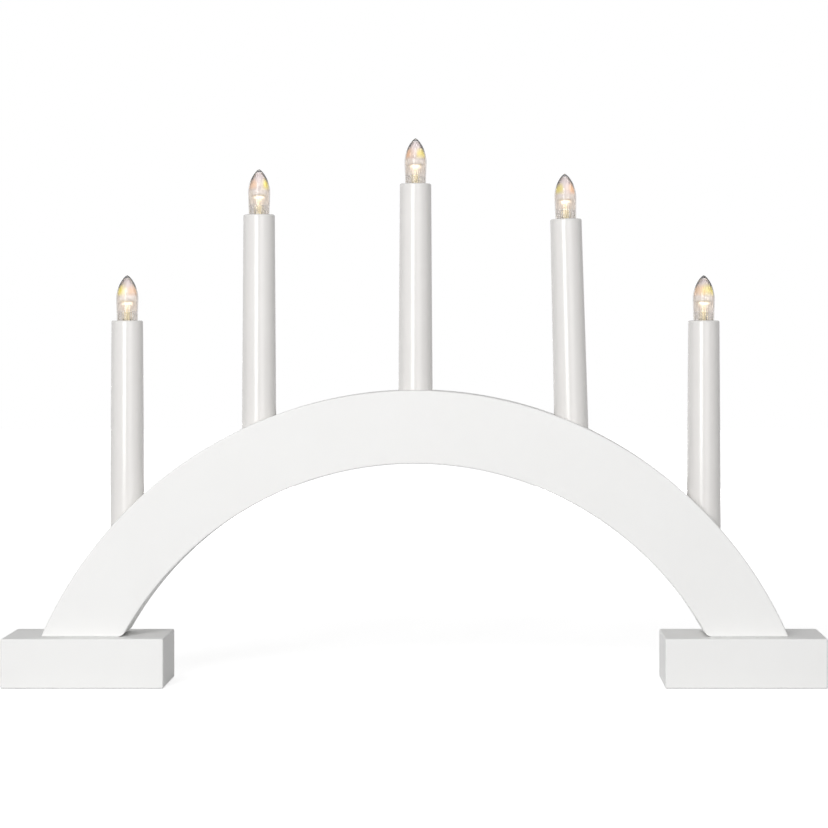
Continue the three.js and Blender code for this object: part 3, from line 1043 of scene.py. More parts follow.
class ThreadRule:
    """Raises right-hand screw threads, or sinks nearly straight flutes, on a turned piece."""

    CREASE = 50.0

    def __init__(self) -> None:
        """Builds the tree that moves the skin along a helix."""
        tree = GeoTree("raised_thread")
        self.tree = tree
        shape = ("Starts", "Pitch", "Ridge Height", "Sharpness")
        starts, pitch, ridge, sharpness = (tree.given(name) for name in shape)
        reach = ("Core Radius", "Lower End", "Upper End", "Run-out")
        core, low, high, run_out = (tree.given(name) for name in reach)
        across, deep, up = tree.place()
        radius = (across * across + deep * deep) ** 0.5
        turns = up / pitch * (2 * math.pi) - starts * across.maths("ARCTAN2", deep, across)
        wave = (0.5 + 0.5 * turns.maths("COSINE", turns)) ** sharpness
        start = ((up - low) / run_out).at_least(0.0).at_most(1.0)
        end = ((high - up) / run_out).at_least(0.0).at_most(1.0)
        outside = radius.maths("GREATER_THAN", radius, core)
        swell = 1.0 + ridge * wave * start * end * outside / radius.at_least(core)
        tree.close(tree.replaced(tree.seed(), across * swell, deep * swell, up))

    def cut(self, mesh: bpy.types.Mesh, finish: Finish, sizes: dict[str, float]) -> bpy.types.Mesh:
        """Cuts the threads or flutes of a turned piece, which is used up."""
        return close_skin(self.tree.run(mesh, finish, sizes), self.CREASE)


class WireRule:
    """Sweeps a round wire along a route."""

    def __init__(self) -> None:
        """Builds the tree that rounds the route's corners and gives it a round section."""
        tree = GeoTree("laid_wire")
        self.tree = tree
        bends = {
            "Curve": tree.line(),
            "Radius": tree.given("Bend Radius"),
            "Count": tree.given("Bend Steps", "NodeSocketInt"),
            "Limit Radius": True,
        }
        route = tree.node("GeometryNodeFilletCurve", {"mode": "POLY"}, bends)
        tree.close(tree.swept(route, tree.circle("Wire Radius"), caps=True))

    def lay(self, route: Sequence[Vector], finish: Finish, sizes: dict[str, object]) -> bpy.types.Mesh:
        """Lays one wire through the points of a route."""
        steps = [(place, place + 1) for place in range(len(route) - 1)]
        return close_skin(self.tree.run(mesh_of("route", route, steps, []), finish, sizes))


@dataclass(frozen=True)
class Helix:
    """A thread's or a flute's shape."""

    pitch: float
    ridge: float
    run_out: float
    starts: float = 1.0
    sharpness: float = 1.0

    def sizes(self, core: float, low: float, high: float) -> dict[str, float]:
        """The thread rule's sizes.

        Args:
            core: The radius beyond which the skin is moved.
            low: Where the helix starts.
            high: Where it ends.

        Returns:
            A value for each size.
        """
        return {
            "Starts": self.starts,
            "Pitch": self.pitch,
            "Ridge Height": self.ridge,
            "Sharpness": self.sharpness,
            "Core Radius": core,
            "Lower End": low,
            "Upper End": high,
            "Run-out": self.run_out,
        }


class Workshop:
    """The rules that pieces are made by."""

    def __init__(self) -> None:
        """Builds the rules."""
        self.lathe = Lathe()
        self.bands = BandRule()
        self.threads = ThreadRule()
        self.wires = WireRule()


@dataclass
class SubAssembly:
    """Pieces that are made together."""

    workshop: Workshop


def show(name: str, mesh: bpy.types.Mesh, finish: Finish, body: str, nodes: Sequence[str]) -> None:
    """Makes a finished mesh a piece of the object.

    Args:
        name: The piece's name.
        mesh: Its mesh, already in place.
        finish: Its finish.
        body: The body that it rides on.
        nodes: The frame's nodes that it stands for, or none.
    """
    mesh.name = name
    mesh.materials.clear()
    mesh.materials.append(finish.make())
    piece = placed(name, mesh)
    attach(piece, body)
    if nodes:
        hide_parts(*nodes)
    LOG.info("%s: %d faces on %s", name, len(mesh.polygons), body)


@dataclass(frozen=True)
class Candle:
    """The place of one candle: the middle of its seat's floor and the way that it leans."""

    number: int
    place: Matrix
    lamp_turn: float

    @classmethod
    def from_frame(cls, number: int, lamp_turn: float) -> "Candle":
        """Reads a candle's place from its lamp's turning joint.

        Args:
            number: Which candle it is, from the left.
            lamp_turn: How far its lamp happens to be screwed round, in degrees.

        Returns:
            The candle's place.
        """
        joint = next(j for j in frame["joints"] if j["name"] == f"bulb_{number}_turn")
        lean = Vector((0.0, 0.0, 1.0)).rotation_difference(Vector(joint["axis"]))
        place = Matrix.Translation(joint["pos_m"]) @ lean.to_matrix().to_4x4()
        return cls(number, place, lamp_turn)

    def seat(self, mesh: bpy.types.Mesh) -> bpy.types.Mesh:
        """Moves a mesh from the candle's own axes to its place."""
        return moved(mesh, self.place)

    def seat_marked(self, mesh: bpy.types.Mesh) -> bpy.types.Mesh:
        """Seats a mesh, turned as its lamp is, and keeps its own coordinates on it.

        Args:
            mesh: The mesh, in the candle's own axes.

        Returns:
            The same mesh, in its place.
        """
        own = mesh.attributes.new(OWN_PLACE, "FLOAT_VECTOR", "POINT")
        own.data.foreach_set("vector", [part for vertex in mesh.vertices for part in vertex.co])
        return self.seat(moved(mesh, Matrix.Rotation(math.radians(self.lamp_turn), 4, "Z")))


@dataclass
class ArchBoard(SubAssembly):
    """The curved board with its candle seats, its wire groove and the strip that closes the groove."""

    candles: list[Candle]
    band_width: float = 37 * MM
    edge_rounding: float = 0.8 * MM
    edge_steps: int = 4
    heel_rounding: float = 2.2 * MM
    heel_station: float = 0.8
    support: float = 0.5 * MM
    arc_steps: int = 121
    seat_radius: float = 9.0 * MM
    seat_sides: int = 64
    groove_width: float = 6.4 * MM
    groove_depth: float = 5.2 * MM
    step_width: float = 10.4 * MM
    step_depth: float = 1.4 * MM
    cover_width: float = 10 * MM
    cover_thickness: float = 1.2 * MM
    cover_rounding: float = 0.3 * MM
    cover_steps: int = 3
    cover_lift: float = 0.2 * MM
    hole_radius: float = 4.04 * MM
    hole_sides: int = 24
    hole_overrun: float = 5 * MM
    pilot_radius: float = 2.1 * MM
    pilot_sides: int = 20
    pilot_top: float = 39.2 * MM
    overrun: float = 2 * MM

    def __post_init__(self) -> None:
        """Reads the arch's circle from the frame."""
        low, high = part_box("arch")
        rise = high.z - low.z
        self.depth = high.y - low.y
        self.foot_top = low.z
        self.outer_radius = (high.x**2 + rise**2) / (2 * rise)
        self.inner_radius = self.outer_radius - self.band_width
        self.centre = high.z - self.outer_radius

    def sizes(self, inner: float, outer: float, level: float, heel: float = 0.0) -> dict[str, object]:
        """The band rule's sizes.

        Args:
            inner: The inner radius.
            outer: The outer radius.
            level: The height where the band is cut off.
            heel: The rounding of its inner lower corners.

        Returns:
            A value for each size.
        """
        return {
            "Middle Radius": (inner + outer) / 2,
            "Inner Radius": inner,
            "Foot Level": level - self.centre,
            "Heel Rounding": heel,
            "Centre Level": self.centre,
            "Arc Steps": self.arc_steps,
        }

    def section(self) -> Profile:
        """The board's section, with rounded edges and the stations that the heel needs.

        Returns:
            Pairs of distance outwards from the middle radius and depth.
        """
        half_band = self.band_width / 2
        half_depth = self.depth / 2
        edge, heel = self.edge_rounding, self.heel_rounding
        near = edge + self.support
        stations = [near, heel * self.heel_station, heel, self.band_width - near]
        front = [(station - half_band, half_depth) for station in stations]
        points: Profile = []
        corners = [(1, 1), (-1, 1), (-1, -1), (1, -1)]
        for turn, (side, face) in enumerate(corners):
            centre = (side * (half_band - edge), face * (half_depth - edge))
            points += arc(centre, edge, 90 * turn, 90 * turn + 90, self.edge_steps)
            if turn == 0:
                points += front[::-1]
            elif turn == 2:
                points += [(x, -y) for x, y in front]
            else:
                inset = half_depth - near
                points += [(side * half_band, face * inset), (side * half_band, -face * inset)]
        return points

    def strip(self, reach: tuple[float, float], width: float, level: float) -> bpy.types.Mesh:
        """A plain band of rectangular section, as a cutter.

        Args:
            reach: Its inner and outer radius.
            width: Its width across the board.
            level: The height where it is cut off.

        Returns:
            The band.
        """
        half = (reach[1] - reach[0]) / 2
        section = [(half, width / 2), (-half, width / 2), (-half, -width / 2), (half, -width / 2)]
        return self.workshop.bands.band(section, PAINT, self.sizes(*reach, level))

    def wire_hole(self, candle: Candle) -> bpy.types.Mesh:
        """The hole from the groove to one seat, as a cutter.

        Args:
            candle: The candle in that seat.

        Returns:
            The hole.
        """
        floor = candle.place.translation - Vector((0.0, 0.0, self.centre))
        bearing = math.atan2(floor.x, floor.z)
        low = self.inner_radius + self.step_depth
        high = floor.length + self.hole_overrun
        hole = self.workshop.lathe.rod(self.hole_radius, low, high, self.hole_sides, PAINT)
        return moved(hole, Matrix.Translation((0, 0, self.centre)) @ Matrix.Rotation(bearing, 4, "Y"))

    def build(self, screws: Sequence[Vector]) -> None:
        """Makes the board and its cover strip.

        Args:
            screws: The places of the foot screws.
        """
        sizes = self.sizes(self.inner_radius, self.outer_radius, self.foot_top, self.heel_rounding)
        board = self.workshop.bands.band(self.section(), PAINT, sizes)
        rod = self.workshop.lathe.rod
        inside = self.inner_radius - self.overrun
        below = self.foot_top - self.overrun
        groove = (inside, self.inner_radius + self.groove_depth)
        step = (inside, self.inner_radius + self.step_depth)
        cutters = [
            self.strip(groove, self.groove_width, below),
            self.strip(step, self.step_width, below),
        ]
        for candle in self.candles:
            seat = rod(self.seat_radius, 0.0, self.outer_radius, self.seat_sides, PAINT)
            cutters += [candle.seat(seat), self.wire_hole(candle)]
        for screw in screws:
            pilot = rod(self.pilot_radius, below, self.pilot_top, self.pilot_sides, PAINT)
            cutters.append(shifted(pilot, screw.x, screw.y, 0.0))
        show("painted_arch", carved(board, cutters), PAINT, STAND, ["arch"])
        self.build_cover()

    def build_cover(self) -> None:
        """Makes the strip that closes the wire groove."""
        half = self.cover_thickness / 2
        width = self.cover_width / 2
        rounding = self.cover_rounding
        section: Profile = [(half, -width), (half, width)]
        section += arc((rounding - half, width - rounding), rounding, 90, 180, self.cover_steps)
        section += arc((rounding - half, rounding - width), rounding, 180, 270, self.cover_steps)
        reach = (self.inner_radius, self.inner_radius + self.cover_thickness)
        level = self.foot_top + self.cover_lift + self.heel_rounding / 2
        strip = self.workshop.bands.band(section, COVER, self.sizes(*reach, level))
        show("groove_cover_strip", strip, COVER, STAND, ["groove_cover"])


@dataclass
class FootBlocks(SubAssembly):
    """The two foot blocks, their countersunk screws and the gland in the back of the left one."""

    edge_rounding: float = 0.9 * MM
    edge_steps: int = 4
    edge_fullness: float = 0.5
    screw_count: int = 4
    screw_sides: int = 32
    screw_head_radius: float = 3.8 * MM
    screw_head_height: float = 2.4 * MM
    screw_head_sink: float = 1.0 * MM
    screw_head_rim: float = 0.3 * MM
    screw_radius: float = 1.9 * MM
    screw_core: float = 1.3 * MM
    screw_neck: float = 14 * MM
    screw_point: float = 4 * MM
    screw_pitch: float = 1.6 * MM
    screw_sharpness: float = 4.0
    screw_rings: int = 10
    bare_point: float = 0.25
    recess_length: float = 4.4 * MM
    recess_width: float = 0.9 * MM
    recess_depth: float = 1.6 * MM
    clearance: float = 0.2 * MM
    way_radius: float = 4.34 * MM
    way_sides: int = 32
    flange_room_sides: int = 48
    bush_sides: int = 64
    rounding_steps: int = 5
    flange_radius: float = 6.64 * MM
    flange_thickness: float = 2.4 * MM
    flange_rounding: float = 0.7 * MM
    sleeve_radius: float = 4.04 * MM
    sleeve_length: float = 12 * MM
    lead_bore: float = 3.04 * MM
    bore_rounding: float = 0.6 * MM
    overrun: float = 2 * MM

    def screw_places(self) -> Route:
        """Where the screws are.

        Returns:
            The middle of each screw's head, on the underside.
        """
        places = []
        for number in range(1, self.screw_count + 1):
            low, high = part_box(f"foot_screw_{number}")
            middle = (low + high) / 2
            places.append(Vector((middle.x, middle.y, low.z)))
        return places

    def gland_place(self) -> Vector:
        """Where the gland is.

        Returns:
            The middle of its outer face.
        """
        low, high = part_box("cord_gland")
        middle = (low + high) / 2
        return Vector((middle.x, high.y, middle.z))

    def screw_hole(self, place: Vector) -> bpy.types.Mesh:
        """The countersunk clearance hole of one screw, as a cutter.

        Args:
            place: The middle of the screw's head.

        Returns:
            The hole.
        """
        head = self.screw_head_radius + self.clearance
        shank = self.screw_radius + self.clearance
        seat = self.screw_head_sink + self.clearance
        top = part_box("foot_left")[1].z + self.overrun
        profile = [
            (0.0, -self.overrun),
            (head, -self.overrun),
            (head, seat),
            (shank, seat + self.screw_head_height),
            (shank, top),
            (0.0, top),
        ]
        hole = self.workshop.lathe.turn(profile, self.screw_sides, PAINT)
        return shifted(hole, place.x, place.y, 0.0)

    def wire_way(self) -> list[bpy.types.Mesh]:
        """The bent hole from the top of the left foot to the gland.

        Returns:
            The way down, the way out and the room for the gland's flange, as cutters.
        """
        rod = self.workshop.lathe.rod
        gland = self.gland_place()
        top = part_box("foot_left")[1].z + self.overrun
        end = gland.y + self.overrun
        backwards = Matrix.Translation((gland.x, 0.0, gland.z)) @ BACKWARDS
        down = rod(self.way_radius - self.clearance, gland.z, top, self.way_sides, PAINT)
        out = rod(self.way_radius, -self.way_radius, end, self.way_sides, PAINT)
        room = gland.y - self.flange_thickness - self.clearance
        flange = rod(self.flange_radius + self.clearance, room, end, self.flange_room_sides, PAINT)
        return [shifted(down, gland.x, 0.0, 0.0), moved(out, backwards), moved(flange, backwards)]

    def block(self, node: str) -> bpy.types.Mesh:
        """A block with rounded edges.

        Args:
            node: The frame's node, which gives its size and place.

        Returns:
            The block.
        """
        low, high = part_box(node)
        corners = [(x, y, z) for x in (low.x, high.x) for y in (low.y, high.y) for z in (low.z, high.z)]
        sides = [(0, 1, 3, 2), (4, 6, 7, 5), (0, 4, 5, 1), (2, 3, 7, 6), (0, 2, 6, 4), (1, 5, 7, 3)]
        mesh = mesh_of(node, corners, [], sides)

        def round_edges(shape: bmesh.types.BMesh) -> None:
            """Rounds every edge.

            Args:
                shape: The mesh as it is edited.
            """
            bmesh.ops.recalc_face_normals(shape, faces=shape.faces)
            bmesh.ops.bevel(
                shape,
                geom=shape.edges[:],
                offset=self.edge_rounding,
                segments=self.edge_steps,
                profile=self.edge_fullness,
                affect="EDGES",
            )

        return reshape(mesh, round_edges)

    def screw_profile(self, length: float) -> Profile:
        """A screw's outline, from the middle of its head to its point.

        Args:
            length: The screw's length.

        Returns:
            Pairs of radius and height.
        """
        head = self.screw_head_radius
        end = length - self.screw_point
        steps = math.ceil((end - self.screw_neck) / self.screw_pitch * self.screw_rings)
        rise = (end - self.screw_neck) / steps
        neck: Profile = [(0.0, 0.0), (head, 0.0), (head, self.screw_head_rim)]
        neck += [(self.screw_radius, self.screw_head_height), (self.screw_radius, self.screw_neck)]
        thread = [(self.screw_core, self.screw_neck + rise * (step + 0.5)) for step in range(steps)]
        point_steps = 2 * self.screw_rings
        point = [
            (self.screw_core * (1 - step / point_steps), end + self.screw_point * step / point_steps)
            for step in range(point_steps + 1)
        ]
        return neck + thread + point

    def cross_recess(self) -> list[bpy.types.Mesh]:
        """The cross recess of a screw.

        Returns:
            Its two slots, as cutters.
        """
        slots = []
        size = Matrix.Diagonal((self.recess_length, self.recess_width, 2 * self.recess_depth, 1.0))
        for quarter in (0.0, math.pi / 2):
            slot = bmesh.new()
            bmesh.ops.create_cube(slot, size=1.0, matrix=Matrix.Rotation(quarter, 4, "Z") @ size)
            mesh = bpy.data.meshes.new("slot")
            slot.to_mesh(mesh)
            slot.free()
            mesh.materials.append(ZINC.make())
            slots.append(mesh)
        return slots

    def build_screws(self) -> None:
        """Makes the countersunk wood screws."""
        ridge = self.screw_radius - self.screw_core
        thread = Helix(self.screw_pitch, ridge, self.screw_point, sharpness=self.screw_sharpness)
        for number, place in enumerate(self.screw_places(), 1):
            low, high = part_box(f"foot_screw_{number}")
            length = high.z - low.z
            sizes = thread.sizes(self.screw_core * self.bare_point, self.screw_neck, length)
            screw = self.workshop.lathe.turn(self.screw_profile(length), self.screw_sides, ZINC)
            screw = self.workshop.threads.cut(screw, ZINC, sizes)
            screw = shifted(carved(screw, self.cross_recess()), *place)
            show(f"wood_screw_{number}", screw, ZINC, STAND, [f"foot_screw_{number}"])

    def build_bush(self) -> None:
        """Makes the bush that a lead passes through, in the back of the left block."""
        edge, mouth = self.flange_rounding, self.bore_rounding
        back = -self.flange_thickness
        profile = arc((self.lead_bore + mouth, -mouth), mouth, 180, 90, self.rounding_steps)
        profile += arc((self.flange_radius - edge, -edge), edge, 90, 0, self.rounding_steps)
        profile += [(self.flange_radius, back), (self.sleeve_radius, back)]
        profile += [(self.sleeve_radius, -self.sleeve_length), (self.lead_bore, -self.sleeve_length)]
        bush = self.workshop.lathe.turn(profile, self.bush_sides, COVER, closed=True)
        bush = moved(bush, Matrix.Translation(self.gland_place()) @ BACKWARDS)
        show("lead_bush", bush, COVER, STAND, ["cord_gland"])

    def build(self) -> None:
        """Makes both blocks, their screws and the bush."""
        self.build_screws()
        self.build_bush()
        for node, side in (("foot_left", -1), ("foot_right", 1)):
            screws = [place for place in self.screw_places() if place.x * side > 0]
            cutters = [self.screw_hole(place) for place in screws]
            if side < 0:
                cutters += self.wire_way()
            show(f"painted_{node}", carved(self.block(node), cutters), PAINT, STAND, [node])


@dataclass
class CandleTube(SubAssembly):
    """A tapered candle sleeve with a rounded rim and a ledge inside for the lampholder."""

    candle: Candle
    bottom: float = 0.2 * MM
    top: float = 118.2 * MM
    base_radius: float = 8.8 * MM
    top_radius: float = 8.0 * MM
    wall: float = 1.2 * MM
    rim_rounding: float = 0.9 * MM
    rim_steps: int = 6
    lip_rounding: float = 0.25 * MM
    lip_steps: int = 3
    ledge_radius: float = 5.9 * MM
    ledge_low: float = 86.8 * MM
    ledge_high: float = 88.4 * MM
    sides: int = 72

    def outside(self, height: float) -> float:
        """The outer radius at a height."""
        share = (height - self.bottom) / (self.top - self.bottom)
        return self.base_radius + (self.top_radius - self.base_radius) * share

    def bore(self, height: float) -> float:
        """The inner radius at a height."""
        return self.outside(height) - self.wall

    def profile(self) -> Profile:
        """The closed outline of half the tube.

        Returns:
            Pairs of radius and height.
        """
        rim, lip = self.rim_rounding, self.lip_rounding
        inner = self.bore(self.top)
        points: Profile = [(self.bore(self.bottom), self.bottom), (self.base_radius, self.bottom)]
        points += arc((self.outside(self.top - rim) - rim, self.top - rim), rim, 0, 90, self.rim_steps)
        points += arc((inner + lip, self.top - lip), lip, 90, 180, self.lip_steps)
        points += [(self.bore(self.ledge_high), self.ledge_high), (self.ledge_radius, self.ledge_high)]
        points += [(self.ledge_radius, self.ledge_low), (self.bore(self.ledge_low), self.ledge_low)]
        return points

    def build(self) -> None:
        """Makes the tube."""
        number = self.candle.number
        mesh = self.workshop.lathe.turn(self.profile(), self.sides, TUBE, closed=True)
        show(f"glossy_tube_{number}", self.candle.seat(mesh), TUBE, STAND, [f"candle_tube_{number}"])


@dataclass(frozen=True)
class LampThread(Helix):
    """The small round thread that a lamp's cap and its shell share."""

    pitch: float = 1.814 * MM
    ridge: float = 0.5 * MM
    run_out: float = 0.6 * MM
    rings_a_turn: int = 12

    def rungs(self, radius: float, low: float, high: float) -> Profile:
        """A straight stretch of outline with enough points to carry the thread."""
        steps = math.ceil(abs(high - low) / self.pitch * self.rings_a_turn)
        return [(radius, low + (high - low) * step / steps) for step in range(steps + 1)]


CAP_THREAD = LampThread()


class Terminal(Enum):
    """Where a wire ends in a lampholder."""

    SHELL = "shell"
    RIVET = "rivet"


@dataclass
class Lampholder(SubAssembly):
    """The insulating socket in a tube, its threaded shell and the rivet under the lamp."""

    candle: Candle
    low: float = 88.6 * MM
    high: float = 107.6 * MM
    radius: float = 6.5 * MM
    edge_rounding: float = 0.4 * MM
    edge_steps: int = 4
    bore: float = 5.75 * MM
    floor: float = 99.9 * MM
    well_radius: float = 2.7 * MM
    well_floor: float = 97.9 * MM
    stem_hole: float = 1.1 * MM
    shell_low: float = 100.2 * MM
    shell_high: float = 108.0 * MM
    shell_bore: float = 4.46 * MM
    shell_wall: float = 0.35 * MM
    shell_foot: float = 3.2 * MM
    rivet_radius: float = 2.4 * MM
    rivet_low: float = 98.0 * MM
    rivet_high: float = 98.6 * MM
    rivet_sides: int = 32
    rivet_steps: int = 5
    stem_radius: float = 0.9 * MM
    stem_low: float = 92.4 * MM
    wire_hole: float = 0.95 * MM
    wire_hole_sides: int = 16
    wire_place: float = 4.665 * MM
    wire_gap: float = 0.2 * MM
    overrun: float = 1 * MM
    sides: int = 48

    def socket_profile(self) -> Profile:
        """The closed outline of half the socket.

        Returns:
            Pairs of radius and height.
        """
        edge = self.edge_rounding
        outer = self.radius - edge
        points: Profile = [(self.stem_hole, self.low)]
        points += arc((outer, self.low + edge), edge, -90, 0, self.edge_steps)
        points += arc((outer, self.high - edge), edge, 0, 90, self.edge_steps)
        points += [(self.bore, self.high), (self.bore, self.floor), (self.well_radius, self.floor)]
        return points + [(self.well_radius, self.well_floor), (self.stem_hole, self.well_floor)]

    def shell_profile(self) -> Profile:
        """The closed outline of half the shell, a pressed cup with an open floor.

        Returns:
            Pairs of radius and height.
        """
        outer = self.shell_bore + self.shell_wall
        floor = self.shell_low + self.shell_wall
        points: Profile = [(self.shell_foot, self.shell_low)]
        points += CAP_THREAD.rungs(outer, self.shell_low, self.shell_high)
        points += CAP_THREAD.rungs(self.shell_bore, self.shell_high, floor)
        return points + [(self.shell_foot, floor)]

    def terminal(self, kind: Terminal) -> tuple[float, float]:
        """Where a wire ends.

        Args:
            kind: Which of the holder's terminals it is.

        Returns:
            The wire's place across the holder and the height of its end.
        """
        if kind is Terminal.SHELL:
            return (-self.wire_place, self.shell_low - self.wire_gap)
        return (0.0, self.stem_low - self.wire_gap)

    def rivet_profile(self) -> Profile:
        """The rivet's outline, with a domed head.

        Returns:
            Pairs of radius and height.
        """
        thickness = self.rivet_high - self.rivet_low
        head = arc((self.rivet_radius - thickness, self.rivet_low), thickness, 0, 90, self.rivet_steps)
        stem: Profile = [(0.0, self.stem_low), (self.stem_radius, self.stem_low)]
        return stem + [(self.stem_radius, self.rivet_low)] + head + [(0.0, self.rivet_high)]

    def build(self) -> None:
        """Makes the socket, its shell and its rivet."""
        number = self.candle.number
        turn = self.workshop.lathe.turn
        socket = turn(self.socket_profile(), self.sides, HOLDER, closed=True)
        reach = (self.low - self.overrun, self.floor + self.overrun)
        hole = self.workshop.lathe.rod(self.wire_hole, *reach, self.wire_hole_sides, HOLDER)
        socket = carved(socket, [shifted(hole, -self.wire_place, 0.0, 0.0)])
        shell = turn(self.shell_profile(), self.sides, BRASS, closed=True)
        core = self.shell_bore - self.shell_wall
        past_rim = self.shell_high + CAP_THREAD.run_out
        sizes = CAP_THREAD.sizes(core, self.shell_low, past_rim)
        shell = self.workshop.threads.cut(shell, BRASS, sizes)
        rivet = turn(self.rivet_profile(), self.rivet_sides, BRASS)
        pieces = [
            ("socket", socket, HOLDER, "lamp_holder"),
            ("threaded_shell", shell, BRASS, "screw_shell"),
            ("contact_rivet", rivet, BRASS, "centre_contact"),
        ]
        for stem, mesh, finish, node in pieces:
            show(f"{stem}_{number}", self.candle.seat(mesh), finish, STAND, [f"{node}_{number}"])


@dataclass
class Lamp(SubAssembly):
    """A small pointed lamp: a clear body, a fluted guide and a post that carries the light source."""

    candle: Candle
    tip: float = 141.2 * MM
    base: float = 109.2 * MM
    shoulder: float = 12.0 * MM
    radius: float = 5.6 * MM
    base_radius: float = 4.95 * MM
    wall: float = 0.35 * MM
    solid_tip: float = 1.1 * MM
    dome: float = 0.3 * MM
    tip_fullness: float = 0.33
    tip_drop: float = 0.6 * MM
    ogive_steps: int = 20
    dome_steps: int = 8
    lens_steps: int = 10
    sides: int = 64
    post_sides: int = 32
    diode_sides: int = 40
    cap_sides: int = 48
    solder_sides: int = 32
    guide_gap: float = 0.1 * MM
    guide_low: float = 110.2 * MM
    bore_radius: float = 2.3 * MM
    bore_high: float = 123.6 * MM
    pocket_radius: float = 3.5 * MM
    pocket_low: float = 125.8 * MM
    pocket_high: float = 127.4 * MM
    pocket_dome: float = 1.2 * MM
    flute_count: int = 30
    flute_depth: float = 0.4 * MM
    flute_twist: float = 1000 * MM
    flute_high: float = 127.0 * MM
    flute_fade: float = 5.0 * MM
    flute_sides: int = 180
    post_radius: float = 2.0 * MM
    post_foot: float = 99.8 * MM
    post_top: float = 122.4 * MM
    neck_radius: float = 0.45 * MM
    neck_top: float = 126.1 * MM
    diode_low: float = 126.3 * MM
    diode_radius: float = 2.7 * MM
    diode_shaft: float = 0.8 * MM
    diode_dome: float = 0.8 * MM
    wall_steps: int = 10
    plug_radius: float = 3.45 * MM
    plug_foot: float = 2.2 * MM
    plug_taper: float = 1.1 * MM
    plug_top: float = 102.2 * MM
    cap_low: float = 100.6 * MM
    cap_high: float = 109.0 * MM
    cap_bore: float = 3.6 * MM
    cap_core: float = 4.255 * MM
    cap_edge: float = 0.3 * MM
    cap_edge_steps: int = 3
    collar_low: float = 108.15 * MM
    collar_radius: float = 4.75 * MM
    solder_low: float = 98.8 * MM
    solder_high: float = 99.6 * MM
    solder_radius: float = 1.6 * MM

    def ogive(self, radius: float, top: float) -> Profile:
        """The pointed arc from a tip down to the shoulder.

        Args:
            radius: The radius at the shoulder.
            top: The height of the tip.

        Returns:
            Pairs of radius and height, from the tip.
        """
        waist = self.tip - self.shoulder
        start = Vector((0.0, top))
        first = Vector((self.tip_fullness * radius, top - self.tip_drop))
        second = Vector((radius, waist + (top - waist) / 2))
        end = Vector((radius, waist))
        points = []
        for step in range(self.ogive_steps + 1):
            t = step / self.ogive_steps
            s = 1.0 - t
            spot = start * s**3 + first * (3 * s * s * t) + second * (3 * s * t * t) + end * t**3
            points.append((spot.x, spot.y))
        return points

    def hollow(self, gap: float, low: float) -> Profile:
        """The wall of the body's hollow, from its domed end down.

        Args:
            gap: How far inside the wall the line runs.
            low: The height where it stops.

        Returns:
            Pairs of radius and height, from the axis.
        """
        end = self.tip - self.solid_tip - gap
        inset = self.wall + gap
        line = [(radius - inset, height) for radius, height in self.ogive(self.radius, self.tip)]
        line = [spot for spot in line if low < spot[1] < end - self.dome]
        width, drop = line[0][0], end - line[0][1]
        line = flat_arc(width, end - drop, drop, 90, 0, self.dome_steps)[:-1] + line
        waist = self.tip - self.shoulder
        slope = (self.radius - self.base_radius) / (waist - self.base)
        for step in range(1, self.wall_steps + 1):
            height = waist + (low - waist) * step / self.wall_steps
            line.append((self.base_radius + slope * (height - self.base) - inset, height))
        return line

    def body_profile(self) -> Profile:
        """The clear body's outline, from its tip round its open base to the end of its hollow."""
        outer = self.ogive(self.radius, self.tip)
        return outer + [(self.base_radius, self.base)] + self.hollow(0.0, self.base)[::-1]

    def guide_profile(self) -> Profile:
        """The outline of the light guide, which fills the hollow round the post and the diode.

        Returns:
            Pairs of radius and height.
        """
        inside = [(self.bore_radius, self.guide_low), (self.bore_radius, self.bore_high)]
        inside.append((self.pocket_radius, self.pocket_low))
        inside += flat_arc(self.pocket_radius, self.pocket_high, self.pocket_dome, 0, 90, self.lens_steps)
        return self.hollow(self.guide_gap, self.guide_low) + inside

    def post_profile(self) -> Profile:
        """The post's outline, from the plug in the cap up to the diode.

        Returns:
            Pairs of radius and height.
        """
        return [
            (0.0, self.post_foot),
            (self.plug_foot, self.post_foot),
            (self.plug_radius, self.post_foot + self.plug_taper),
            (self.plug_radius, self.plug_top),
            (self.post_radius, self.plug_top),
            (self.post_radius, self.post_top),
            (self.neck_radius, self.post_top),
            (self.neck_radius, self.neck_top),
            (0.0, self.neck_top),
        ]

    def cap_profile(self) -> Profile:
        """The closed outline of half the cap, with a collar that stops on the shell.

        Returns:
            Pairs of radius and height.
        """
        edge, steps = self.cap_edge, self.cap_edge_steps
        collar = self.collar_radius - edge
        points: Profile = [(self.cap_bore, self.cap_low)]
        points += arc((self.cap_core - edge, self.cap_low + edge), edge, -90, 0, steps)[:-1]
        points += CAP_THREAD.rungs(self.cap_core, self.cap_low + edge, self.collar_low)
        points += arc((collar, self.collar_low + edge), edge, -90, 0, steps)
        points += arc((collar, self.cap_high - edge), edge, 0, 90, steps)
        return points + [(self.cap_bore, self.cap_high)]

    def solder_profile(self) -> Profile:
        """The outline of the drop of solder on the lamp's end.

        Returns:
            Pairs of radius and height.
        """
        drop = self.solder_high - self.solder_low
        dome = flat_arc(self.solder_radius, self.solder_high, drop, -90, 0, self.dome_steps)
        return dome + [(0.0, self.solder_high)]

    def diode_profile(self) -> Profile:
        """The outline of the diode's flat lens.

        Returns:
            Pairs of radius and height.
        """
        level = self.diode_low + self.diode_shaft
        dome = flat_arc(self.diode_radius, level, self.diode_dome, 0, 90, self.lens_steps)
        return [(0.0, self.diode_low), (self.diode_radius, self.diode_low)] + dome

